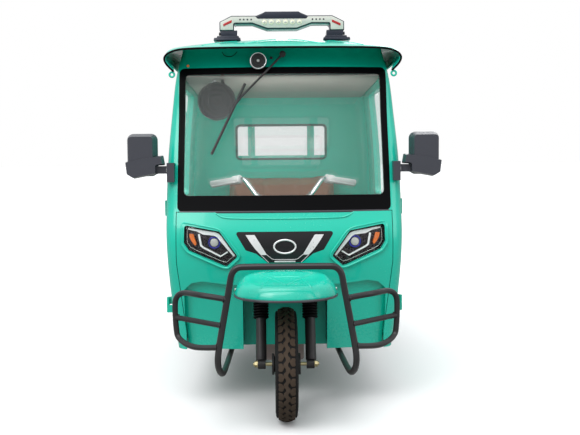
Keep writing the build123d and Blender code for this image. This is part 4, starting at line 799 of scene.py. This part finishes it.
# nose trim: silver strips meeting in a lower chrome bar given gloss black as a painted dark reflection, with bright
# edges, an oval ring, and the beads above
trim = metres({"upper": [(172, 789), (152, 757), (130, 727), (105.5, 701), (79, 701.5), (104, 743), (132.5, 789)],
    "lower": [(105.5, 701), (70.7, 667), (-70.7, 667), (-105.5, 701), (-79, 701.5), (-53, 680), (53, 680),
    (79, 701.5)],
    "patch": [(46, 668.5), (46, 674.5), (-46, 674.5), (-46, 668.5)],
    "innerEdge": [(80, 703), (66.5, 691.5), (53, 680.5), (20, 680.5), (-20, 680.5), (-53, 680.5), (-66.5, 691.5),
    (-80, 703)],
    "outerEdge": [(104, 700), (88, 684), (71.5, 668)], "edgeRadius": 0.0012, "ringCenter": (0, 0.737),
    "ringHalf": (0.0475, 0.0295), "ringRadius": 0.0042,
    "cowl": [(322, 894), (296, 876), (268, 862.5), (200, 860), (100, 859)],
    "cowlRadius": 0.0035, "beadHeight": 0.8885, "beadHalf": 0.47, "beadRadius": 0.0062})


def onTrim(x, z):
    return hitY("nose_trim", x, z) or hitY("front_fascia", x, z)


# the lower bar is chrome like the strips; its gloss black is a painted dark reflection
for name, outline, ahead, finish in (("chrome_left", trim["upper"], 0.0035, "stripSilver"),
        ("chrome_right", mirrored(trim["upper"], -1), 0.0035, "stripSilver"), ("chrome_lower_dark_reflection", trim["lower"],
        0.003, "glossBlack"), ("chrome_patch", trim["patch"], 0.0042, "stripSilver")):
    piece = plate(f"nose_{name}", outline, 0, 0.004, corner=0.001, cornerSegments=2)
    drape(piece, "nose_trim", -ahead, cell=0.012)
    roundEdges(piece, 0.0008)
    dress(piece, finish, slot="chrome_trim")
    if name == "chrome_left":
        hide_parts("nose_chrome")
dress(wire("nose_chrome_inner_edge", [(x, onTrim(x, z) - 0.0035, z) for x, z in trim["innerEdge"]],
    trim["edgeRadius"]), "stripSilver")
for side, name in bothHands:
    dress(wire(f"nose_chrome_outer_edge_{name}", [(side * x, onTrim(side * x, z) - 0.0035, z)
        for x, z in trim["outerEdge"]], trim["edgeRadius"]), "stripSilver")
oval = ringAt("nose_chrome_ring", (0, 0, 0), 1, trim["ringRadius"], 72, turn=(0, 0, 0))
for vertex in oval.data.vertices:  # the round wire keeps its thickness while its path becomes an oval
    reach = math.hypot(vertex.co.x, vertex.co.y)
    turn = math.atan2(vertex.co.y, vertex.co.x)
    out = reach - 1
    vertex.co = ((trim["ringHalf"][0] + out) * math.cos(turn), onTrim(0.062, 0.737) + 0.0005 - vertex.co.z,
        trim["ringCenter"][1] + (trim["ringHalf"][1] + out) * math.sin(turn))
faceOut(oval)
settle(oval)
dress(oval, "stripSilver")
cowlHalf = trim["cowl"]
cowlSpots = cowlHalf + [(0, 0.8585)] + mirrored(cowlHalf[::-1], -1)
dress(wire("cowl_bead", [(x, (hitY("front_fascia", x, z - 0.006) or -1.08) + 0.001, z) for x, z in cowlSpots],
    trim["cowlRadius"]), "bodyPaint")
beadSpots = []
for step in range(25):
    x = -trim["beadHalf"] + 2 * trim["beadHalf"] * step / 24
    beadSpots.append((x, hitY("window_seals", x, 0.9) + 0.0015, trim["beadHeight"]))
# its grey rubber is a painted highlight along the screen's lower edge
dress(wire("windscreen_bead", beadSpots, trim["beadRadius"]), "sealBead")
print("headlamps and trim made")

# roof light bar: navy frame and cap, pale lamp panel, six lamps, diodes, red markers and stepped feet
lightBar = metres({"front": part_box("light_bar_lens")[0][1], "depth": 0.084, "ledHeight": 1.7655,
    "ledXs": [-82.5, -49.5, -16.5, 16.5, 49.5, 82.5], "ledRadius": 0.0118, "dotHeight": 1.7785,
    "dotXs": [144.5, 162, 179.5, 197],
    "frame": [(70.6, 1735), (141, 1760), (220, 1760), (225, 1754), (225.5, 1727), (294.5, 1727), (294.5, 1769),
    (238.5, 1797), (120, 1797), (78, 1814.5)],
    "panel": [(69, 1740), (139.5, 1765), (224, 1764.5), (230, 1758.5), (230, 1731), (290, 1731), (290, 1766.5),
    (237.5, 1792.5), (123.5, 1792.5), (116, 1782.5)],
    "cap": [(112, 1782), (119, 1789.5), (79, 1815)],
    "marker": [(236, 1777), (236, 1765), (276, 1747), (277, 1759)],
    "block": [(211, 1729), (291, 1729), (288, 1703), (211, 1703)],
    "step": [(205, 1703.5), (305, 1703.5), (309, 1694), (202, 1694)],
    "sole": [(197, 1694.5), (320, 1694.5), (323, 1683), (195, 1683)]})
faceY = lightBar["front"]


frameShell = plate("light_bar_frame", acrossMiddle(lightBar["frame"]), faceY + 0.0015, lightBar["depth"],
    corner=0.003, cornerSegments=3, edge=0.0025)
dress(frameShell, "barShell")
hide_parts("light_bar")
lampPanel = plate("light_bar_panel", acrossMiddle(lightBar["panel"]), faceY - 0.001, 0.006, corner=0.003,
    cornerSegments=3, edge=0.001)
dress(lampPanel, "lampWhite")
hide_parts("light_bar_lens")
dress(plate("light_bar_cap", acrossMiddle(lightBar["cap"]), faceY - 0.003, 0.076, corner=0.003, edge=0.002), "barShell")
for index, x in enumerate(lightBar["ledXs"]):
    dress(disc(f"roof_lamp_{index}_bowl", (x, faceY - 0.0035, lightBar["ledHeight"]), (0, 1, 0),
        lightBar["ledRadius"], 0.006, edge=0.0012), "lampCream")
    dress(disc(f"roof_lamp_{index}_eye", (x, faceY - 0.0055, lightBar["ledHeight"]), (0, 1, 0),
        0.0062, 0.004, edge=0.0018, sides=20), "lampBulb")
for side, name in bothHands:
    for index, x in enumerate(lightBar["dotXs"]):
        dot = plate(f"roof_diode_{name}_{index}", [(side * x - 0.0034, lightBar["dotHeight"] - 0.0034),
            (side * x + 0.0034, lightBar["dotHeight"] - 0.0034), (side * x + 0.0034, lightBar["dotHeight"] + 0.0034),
            (side * x - 0.0034, lightBar["dotHeight"] + 0.0034)], faceY - 0.0018, 0.002, corner=0.001)
        dress(dot, "barShell")
    dress(plate(f"roof_marker_{name}", mirrored(lightBar["marker"], side),
        faceY - 0.0025, 0.004, corner=0.0012, edge=0.0006), "lampRed")
    for part, inset, length in (("block", 0.004, 0.078), ("step", 0.002, 0.086), ("sole", -0.002, 0.094)):
        dress(plate(f"light_bar_{part}_{name}", mirrored(lightBar[part], side),
            faceY + inset, length, corner=0.001, edge=0.0015), "barShell")
    dress(disc(f"roof_bar_bolt_{name}", (side * 0.289, faceY + 0.03, 1.716), (side, 0, 0.1),
        0.0085, 0.01, edge=0.002, sides=6), "chassisPaint")
print("light bar made")

# header: horn's rings and dome, its screw, marker lamp and wire, wiper's cap
header = metres({"screw": (-0.052, 1.584), "marker": (-0.435, 1.552),
    "wire": [(-279, 1616.5), (-270, 1602), (-257, 1595), (-242, 1593.5), (-228, 1597.5), (-216, 1607),
    (-209, 1616.5)]})
hornLow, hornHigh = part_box("header_horn")
hornX, hornZ = (hornLow[0] + hornHigh[0]) / 2, (hornLow[2] + hornHigh[2]) / 2
hornRadius = (hornHigh[0] - hornLow[0]) / 2
hornFace = hornLow[1]
dress(settle(ringAt("horn_ring", (hornX, hornFace, hornZ), hornRadius - 0.0025, 0.0034, 64, 12)), "chromePlate")
grill = disc("horn_grille", (hornX, hornFace - 0.001, hornZ), (0, 1, 0), hornRadius - 0.004, 0.004, sides=48)
editAll(grill)
bpy.ops.mesh.select_all(action="DESELECT")
pickNone()
for polygon in grill.data.polygons:
    polygon.select = abs(polygon.normal.y) > 0.9 and polygon.center.y < hornFace
bpy.context.view_layer.objects.active = grill
grill.select_set(True)
bpy.ops.object.mode_set(mode="EDIT")
for step in range(6):  # stepped rings across the grille's face
    bpy.ops.mesh.inset(thickness=0.0022, depth=0.0014 if step % 2 else -0.0014)
    bpy.ops.mesh.inset(thickness=0.0022, depth=0)
pickNone()
settle(grill)
dress(grill, "darkPlastic")
dress(disc("horn_dome", (hornX, hornFace - 0.003, hornZ), (0, 1, 0), 0.0065, 0.006, edge=0.0026, sides=24),
    "paleSteel", slot="chrome_trim")
screwX, screwZ = header["screw"]
screwY = hitY("cab_frame", screwX, screwZ)
dress(disc("header_screw", (screwX, screwY - 0.004, screwZ), (0, 1, 0), 0.0075, 0.006, edge=0.0018, sides=20),
    "darkPlastic")
markerX, markerZ = header["marker"]
markerY = hitY("cab_frame", markerX, markerZ)
dress(disc("header_marker", (markerX, markerY - 0.006, markerZ), (0, 1, 0), 0.0065, 0.008, edge=0.003, sides=20),
    "lampAmber")
dress(wire("header_wire", [(x, (hitY("cab_frame", x, min(z, 1.6)) or screwY) - 0.0025, z) for x, z in header["wire"]],
    0.0016), "sealRubber")
pivotY = hitY("wiper", 0.0, 1.597)
dress(disc("wiper_cap", (0, pivotY - 0.004, 1.597), (0, 1, 0), 0.0145, 0.01, edge=0.003, sides=28), "darkPlastic")
print("header made")

# mirrors: a pale steel collar where each dark plastic arm meets its bracket, a painted highlight
mirror = {"glintCollar": (0.524, 1.077), "collarRadius": 0.015}
for side, name in bothHands:
    spotX, spotZ = mirror["glintCollar"]
    armY = hitY("mirrors", side * spotX, spotZ)
    if armY is not None:
        # pale steel on the dark plastic arm end: a painted highlight
        dress(settle(ringAt(f"mirror_{name}_collar", (side * spotX, armY + 0.014, spotZ), mirror["collarRadius"],
            0.0025, 32, 8, turn=(0, math.pi / 2, 0))), "paleSteel", slot="dark_plastic")
print("mirrors made")

# bumper: bent hoop, side loops, middle rods and weld beads
bumper = metres({"hoopRadius": 0.013, "loopRadius": 0.0118, "hoopY": frontAxleY - 0.3175, "loopY": frontAxleY - 0.17,
    "leg": [(266, 388), (258, 432), (250, 478), (242, 522), (233, 571), (225, 612)],
    "corner": [(209.5, 702.5), (135, 703.5), (60, 703.5)]})
hoopY, loopY = bumper["hoopY"], bumper["loopY"]
half = [(0.25, frontAxleY + 0.36, 0.23), (0.254, frontAxleY + 0.15, 0.233), (0.259, frontAxleY - 0.06, 0.237),
    (0.263, frontAxleY - 0.2, 0.25), (0.271, hoopY + 0.03, 0.295), (0.272, hoopY, 0.34)]
half += [(x, hoopY, z) for x, z in bumper["leg"] + bumper["corner"]]
hoop = wire("bumper_hoop", acrossMiddle(half), bumper["hoopRadius"], resolution=10)
dress(hoop, "tubePaint")
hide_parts("bumper_bar")
for side, name in bothHands:
    dress(wire(f"bumper_loop_{name}", [(side * x, y, z) for x, y, z in ((0.236, hoopY, 0.578),
        (0.285, hoopY + 0.008, 0.586), (0.35, hoopY + 0.032, 0.592), (0.415, loopY - 0.014, 0.588),
        (0.451, loopY, 0.565), (0.452, loopY, 0.5), (0.449, loopY, 0.44), (0.443, loopY, 0.395),
        (0.385, hoopY + 0.075, 0.376), (0.32, hoopY + 0.03, 0.38), (0.266, hoopY, 0.389))], bumper["loopRadius"],
        resolution=10), "tubePaint")
    dress(wire(f"bumper_rod_{name}", [(side * x, y, z) for x, y, z in ((0.251, hoopY, 0.474),
        (0.3, hoopY + 0.036, 0.476), (0.4, loopY - 0.036, 0.48), (0.45, loopY, 0.482))],
        bumper["loopRadius"] - 0.001), "tubePaint")
    for index, spot in enumerate(((0.236, hoopY, 0.578), (0.266, hoopY, 0.389), (0.251, hoopY, 0.475),
            (0.449, loopY, 0.482))):
        bead = ringAt(f"bumper_bead_{name}_{index}", (side * (spot[0] + (0.012 if index < 3 else -0.012)),
            spot[1] + (0.001 if index < 3 else 0), spot[2]), 0.0112, 0.0024, 28, 8, turn=(0, math.pi / 2, 0))
        for vertex in bead.data.vertices:  # an uneven run of weld
            vertex.co *= 1 + 0.03 * math.sin(vertex.co.x * 900 + vertex.co.y * 1300)
        settle(bead)
        dress(bead, "tubePaint")
print("bumper made")

# roof: a pressed shell with a rounded front corner, swages, a rubber edge and rope eyelets
roof = metres({"front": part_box("roof_panel")[0][1], "skin": 0.006,
    "lip": [(484, 1512), (510, 1536), (522.5, 1555), (526.2, 1570), (520, 1583), (507, 1594), (482, 1604.5),
    (452, 1610.5), (380, 1614), (280, 1615.5), (190, 1616), (90, 1616.5), (0, 1616.5)],
    "crown": [(505.5, 1545), (515, 1556), (526.5, 1570), (527.5, 1590), (527.5, 1615), (521, 1634), (500, 1651.5),
    (455, 1666.5), (380, 1679.5), (280, 1691), (190, 1699.5), (90, 1705), (0, 1707)],
    "depths": [0, 12, 30, 60, 100, 160, 240, 340, 460, 600, 760, 900, 990, 1050, 1090, 1115],
    "rises": (0, 0.06, 0.15, 0.3, 0.44, 0.6, 0.75, 0.86, 0.94, 0.985, 1.0, 0.98, 0.9, 0.74, 0.55, 0.38),
    "swages": [((360, -985), (215, -800)), ((175, -990), (30, -830))], "edgeRadius": 0.0048})


def roofSpot(around, across):
    station = min(int(round(across * (len(roof["depths"]) - 1))), len(roof["depths"]) - 1)
    index = int(round(around * 24))
    sign, step = (-1, index) if index <= 12 else (1, 24 - index)
    rise = roof["rises"][station]
    side = min(roof["depths"][station] / 0.06, 1) if station else 0
    blend = side if step <= 3 else rise + (side - rise) * max(0, (7 - step) / 4) * 0.6
    low, high = Vector(roof["lip"][step]), Vector(roof["crown"][step])
    spot = low.lerp(high, min(max(blend, 0), 1))
    return Vector((sign * spot.x, roof["front"] + roof["depths"][station], spot.y))


roofShell = ringGrid("roof_shell", 24, len(roof["depths"]) - 1, roofSpot)
faceUp(roofShell)
addModifier(roofShell, "SUBSURF", levels=2, render_levels=2)
addModifier(roofShell, "SOLIDIFY", thickness=roof["skin"], offset=-1)
applyAll(roofShell)
settle(roofShell, 40)
dress(roofShell, "bodyPaint")
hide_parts("roof_panel")
for side, name in bothHands:
    for index, ends in enumerate(roof["swages"]):
        dress(ribOn(f"roof_swage_{name}_{index}", roofShell, [(side * x, y) for x, y in ends], 0.01, 0.0025),
            "bodyPaint")
edgeHalf = [(x, roof["front"] - 0.0005, z - 0.001) for x, z in roof["lip"][:-1]]
edgePoints = edgeHalf + [(0, roof["front"] - 0.0005, roof["lip"][-1][1] - 0.001)] + [(-x, y, z)
    for x, y, z in reversed(edgeHalf)]
dress(wire("roof_edge_rubber", edgePoints, roof["edgeRadius"], resolution=10), "sealRubber")
for side, name in bothHands:
    dress(settle(ringAt(f"rope_eyelet_{name}", (side * 0.493, roof["front"] + 0.004, 1.4985),
        0.0105, 0.0045, 36, 12)), "bodyPaint")
print("roof made")

# fender: a pressed shell with a steep front face, a domed crown, raised ribs and a rubber lip
fender = metres({"half": 0.212, "front": 0.185, "rear": 0.135, "middle": frontAxleY - 0.095, "skin": 0.003,
    "lip": 0.005,
    "rings": [(0, 0, 0, 562), (1, 1, 1, 570), (5, 8, 3, 588), (12, 18, 6, 604), (19, 30, 9, 614), (27, 52, 13, 623),
    (36, 85, 18, 632), (48, 118, 24, 640), (68, 146, 34, 646.5), (100, 164, 50, 651.5), (140, 174, 70, 654),
    (180, 180, 90, 655.2), (211, 184, 105, 655.8)],
    "veeRib": [((0, -1487), (118, -1355))], "panelRib": [(-100, -1487), (-54, -1405), (54, -1405), (100, -1487)]})


def fenderSpot(around, across):
    sideIn, frontIn, rearIn, height = fender["rings"][int(round(across * (len(fender["rings"]) - 1)))]
    turn = around * 2 * math.pi
    c, s = math.cos(turn), math.sin(turn)
    power = 2 / 2.1 if s < 0 else 2 / 2.2
    reach = fender["front"] - frontIn if s < 0 else fender["rear"] - rearIn
    x = math.copysign(abs(c) ** power, c) * (fender["half"] - sideIn)
    y = math.copysign(abs(s) ** power, s) * reach
    return Vector((x, fender["middle"] + y, height))


fenderShell = ringGrid("fender_shell", 96, len(fender["rings"]) - 1, fenderSpot)
faceUp(fenderShell)
addModifier(fenderShell, "SOLIDIFY", thickness=fender["skin"], offset=-1)
addModifier(fenderShell, "SUBSURF", levels=1, render_levels=1)
applyAll(fenderShell)
settle(fenderShell, 40)
dress(fenderShell, "bodyPaint", "steering")
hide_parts("front_fender")
fenderLip = wire("fender_lip", [tuple(fenderSpot(step / 64, 0) + Vector((0, 0, -0.0035))) for step in range(64)],
    fender["lip"], closed=True)
dress(fenderLip, "sealBead", "steering")
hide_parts("fender_edge")
for side, name in bothHands:
    dress(ribOn(f"fender_rib_{name}", fenderShell, [(side * x, y) for x, y in fender["veeRib"][0]], 0.0045, 0.0022),
        "bodyPaint", "steering")
    dress(disc(f"fender_bolt_{name}", (side * 0.2085, frontAxleY - 0.085, 0.58), (side, 0, 0.25),
        0.006, 0.0045, edge=0.0012, sides=18), "paleSteel", "steering")
dress(ribOn("fender_panel_rib", fenderShell, fender["panelRib"], 0.004, 0.0016), "bodyPaint", "steering")
print("fender made")

# front axle: washers
for side, name in bothHands:
    dress(disc(f"axle_washer_{name}", (side * 0.1213, frontAxleY, 0.243), (side, 0, 0), 0.0165, 0.0022, edge=0.0006),
        "zincSteel", "steering")
print("axle made")

# seats: blown-up covers with sewn channels
seat = {"voxel": 0.006, "shrink": 0.009, "pressure": 4.0, "frames": 20, "cap": 0.014, "channel": 0.005,
    "channelWidth": 0.007, "cushionSeams": [-0.252, -0.084, 0.084, 0.252], "backSeams": [-0.1, 0.1]}


def blowUp(node, name, seams):
    source = nodes[node]
    mesh = source.data.copy()
    piece = bpy.data.objects.new(name, mesh)
    bpy.context.collection.objects.link(piece)
    mesh.name = name
    faceOut(piece, 0.0001)
    pick(piece)
    addModifier(piece, "REMESH", mode="VOXEL", voxel_size=seat["voxel"])
    applyAll(piece)
    addModifier(piece, "DISPLACE", strength=-seat["shrink"], mid_level=0)
    applyAll(piece)
    start = [vertex.co.copy() for vertex in piece.data.vertices]
    cloth = piece.modifiers.new("Cloth", "CLOTH")
    cloth.settings.quality = 5
    cloth.settings.mass = 0.3
    cloth.settings.use_pressure = True
    cloth.settings.uniform_pressure_force = seat["pressure"]
    cloth.settings.effector_weights.gravity = 0
    cloth.point_cache.frame_start = 1
    cloth.point_cache.frame_end = seat["frames"]
    for step in range(1, seat["frames"] + 1):
        bpy.context.scene.frame_set(step)
    pick(piece)
    bpy.ops.object.modifier_apply(modifier=cloth.name)
    bpy.context.scene.frame_set(1)
    for vertex, rest in zip(piece.data.vertices, start):
        move = vertex.co - rest
        if move.length > seat["cap"]:
            vertex.co = rest + move.normalized() * seat["cap"]
    normals = [vertex.normal.copy() for vertex in piece.data.vertices]
    for vertex, normal in zip(piece.data.vertices, normals):
        near = min(abs(vertex.co.x - seam) for seam in seams)
        pull = math.exp(-(near / seat["channelWidth"]) ** 2) * seat["channel"]
        vertex.co -= normal * pull
    low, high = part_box(node)
    for vertex in piece.data.vertices:
        vertex.co = Vector(min(max(c, low[i] - 0.004), high[i] + 0.004) for i, c in enumerate(vertex.co))
    addModifier(piece, "SUBSURF", levels=1, render_levels=1)
    applyAll(piece)
    settle(piece, smooth=60)
    dress(piece, "seatLeather")
    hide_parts(node)


blowUp("seat_cushion", "seat_cushion_cover", seat["cushionSeams"])
blowUp("seat_back", "seat_back_cover", seat["backSeams"])
print("seats made")

# cab inside: headliner and a fan with its guard and hanger
headliner = {"half": (0.455, 0.44), "center": (0, -0.48), "edge": 1.4865, "tilt": -0.0165, "crown": 0.01,
    "thick": 0.004}
pickNone()
bpy.ops.mesh.primitive_grid_add(x_subdivisions=28, y_subdivisions=28, size=2)
liner = named("cab_headliner")
for vertex in liner.data.vertices:
    u, v = vertex.co.x, vertex.co.y
    rise = headliner["crown"] * (1 - u ** 4) * (1 - v ** 4)
    rib = 0.0016 * math.cos(u * math.pi * 6) * (1 - v ** 8)
    vertex.co = (u * headliner["half"][0], headliner["center"][1] + v * headliner["half"][1],
        headliner["edge"] + headliner["tilt"] * v + rise + rib)
addModifier(liner, "SOLIDIFY", thickness=headliner["thick"], offset=0)
applyAll(liner)
settle(liner, 60)
dress(liner, "headlinerCloth")

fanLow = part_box("cab_fan")[0]
fan = {"center": (fanLow[0] + 0.036, fanLow[1] - 0.01, fanLow[2] + 0.066),
    "radius": 0.09, "wire": 0.0013, "rings": (0.02, 0.044, 0.066, 0.084), "hangerTop": 1.492}
for index, radius in enumerate(fan["rings"]):
    hoop = ringAt(f"fan_guard_ring_{index}", fan["center"], radius, fan["wire"], 48, 6)
    settle(hoop)
    dress(hoop, "darkPlastic")
spokes = []
for step in range(16):
    turn = step * math.pi / 8
    inner = Vector(fan["center"]) + Vector((math.cos(turn), 0, math.sin(turn))) * 0.01
    outer = Vector(fan["center"]) + Vector((math.cos(turn), 0, math.sin(turn))) * fan["radius"]
    spokes.append(bar(f"spoke{step}", inner, outer + Vector((0, 0.006, 0)), fan["wire"], 6))
spokes.append(disc("fanRim", fan["center"], (0, 1, 0), fan["radius"], 0.04, edge=0.012, sides=40))
dress(settle(joined("fan_guard_spokes", spokes)), "linerPlastic")
hangerX, hangerY = fan["center"][0] - 0.012, fan["center"][1] + 0.01
hangerLow = fan["center"][2] + fan["radius"] - 0.01
dress(wire("fan_hanger", [(hangerX - 0.008, hangerY, hangerLow), (hangerX - 0.008, hangerY, fan["hangerTop"]),
    (hangerX + 0.012, hangerY, fan["hangerTop"]), (hangerX + 0.01, hangerY, hangerLow)], 0.0035),
    "chromePlate", slot="bright_steel")
print("cab inside made")


def sidePlate(name, outline, x, depth, side, corner=0.0, edge=0.0):
    # a plate on the left or right: its outline is seen from the side, its outer face at x, its back further in
    piece = plate(name, outline, 0, depth, corner=corner)
    for vertex in piece.data.vertices:
        along, back, up = vertex.co
        vertex.co = (side * (x - back), along, up)
    faceOut(piece)
    if edge:
        roundEdges(piece, edge, 3)
    return settle(piece)


def hitX(node, y, z, side):
    found, spot, _, _ = nodes[node].ray_cast(Vector((side * 3.0, y, z)), Vector((-side, 0, 0)))
    return abs(spot.x) if found else None


# doors: pull handles and locks
door = {"lockHeight": 0.808}
for side, name in bothHands:
    node, body = f"door_{name}", f"{name}_door"
    skin = hitX(node, -0.3, 0.86, side)
    dress(sidePlate(f"handle_tray_{name}", [(-0.385, 0.832), (-0.385, 0.884), (-0.262, 0.884), (-0.262, 0.832)],
        skin + 0.0025, 0.006, side, corner=0.012, edge=0.0015), "glossBlack", body)
    pull = sidePlate(f"handle_pull_{name}", [(-0.378, 0.846), (-0.378, 0.87), (-0.3, 0.87), (-0.292, 0.858),
        (-0.3, 0.846)], skin + 0.0125, 0.0085, side, corner=0.006, edge=0.003)
    dress(pull, "darkPlastic", body)
    dress(disc(f"handle_lock_{name}", (side * (skin + 0.0005), -0.276, door["lockHeight"] + 0.05), (side, 0, 0),
        0.0085, 0.0045, edge=0.001, sides=28), "paleSteel", body, slot="chrome_trim")
print("door handles made")

# bed: latches, rope hooks and wheel nuts
bed = {"hookYs": [0.16, 0.42, 0.68, 0.94, 1.2, 1.46], "hookHeight": 0.548, "latchHeight": 0.845}
for side, name in bothHands:
    hooks = []
    for index, y in enumerate(bed["hookYs"]):
        x = side * 0.5505
        hooks.append(wire(f"hook{index}", [(x - side * 0.004, y - 0.026, bed["hookHeight"] + 0.01),
            (x + side * 0.009, y - 0.026, bed["hookHeight"] + 0.004), (x + side * 0.01, y - 0.018,
            bed["hookHeight"] - 0.02), (x + side * 0.01, y + 0.018, bed["hookHeight"] - 0.02),
            (x + side * 0.009, y + 0.026, bed["hookHeight"] + 0.004), (x - side * 0.004, y + 0.026,
            bed["hookHeight"] + 0.01)], 0.0032))
    dress(joined(f"rope_hooks_{name}", hooks), "paleSteel")
    for end, y in (("front", 0.15), ("rear", 1.5)):
        dress(sidePlate(f"latch_{name}_{end}", [(y - 0.018, bed["latchHeight"] - 0.04),
            (y - 0.018, bed["latchHeight"] + 0.03), (y + 0.018, bed["latchHeight"] + 0.03),
            (y + 0.018, bed["latchHeight"] - 0.04)], 0.5535, 0.004, side, corner=0.006, edge=0.001),
            "paleSteel", f"{name}_bed_side")
        dress(wire(f"latch_lever_{name}_{end}", [(side * 0.554, y, bed["latchHeight"] + 0.02),
            (side * 0.5625, y, bed["latchHeight"] + 0.01), (side * 0.5635, y, bed["latchHeight"] - 0.03),
            (side * 0.5595, y, bed["latchHeight"] - 0.055)], 0.0045), "zincSteel", f"{name}_bed_side")
for side, name in bothHands:
    nuts = []
    for step in range(5):
        turn = step * 2 * math.pi / 5
        spot = Vector((side * 0.4985, 0.9 + 0.033 * math.cos(turn), 0.243 + 0.033 * math.sin(turn)))
        nuts.append(disc(f"nut{step}", spot, (side, 0, 0), 0.0085, 0.016, edge=0.0012, sides=6))
    dress(joined(f"wheel_nuts_{name}", nuts), "zincSteel", f"rear_wheel_{name}")
print("bed details made")

# floor
bpy.ops.object.select_all(action="DESELECT")
bpy.ops.mesh.primitive_plane_add(size=studio["floorSize"], location=(0, 0, -0.0005))
studioFloor = bpy.context.object
studioFloor.name = "studioFloor"
floorPaint = makeFinish("floorPaint", studio["floorColor"], 0.9, drift=(0.02, 0.8), specular=0.1)
floorTree = floorPaint.node_tree
floorShader = floorTree.nodes["Principled BSDF"]
floorTint = floorShader.inputs["Base Color"].links[0].from_socket
seenTint = mixColor(floorTree, floorTree.nodes.new("ShaderNodeLightPath").outputs["Is Camera Ray"],
    (*studio["bounceColor"], 1), floorTint)
floorTree.links.new(seenTint, floorShader.inputs["Base Color"])
studioFloor.data.materials.append(floorPaint)
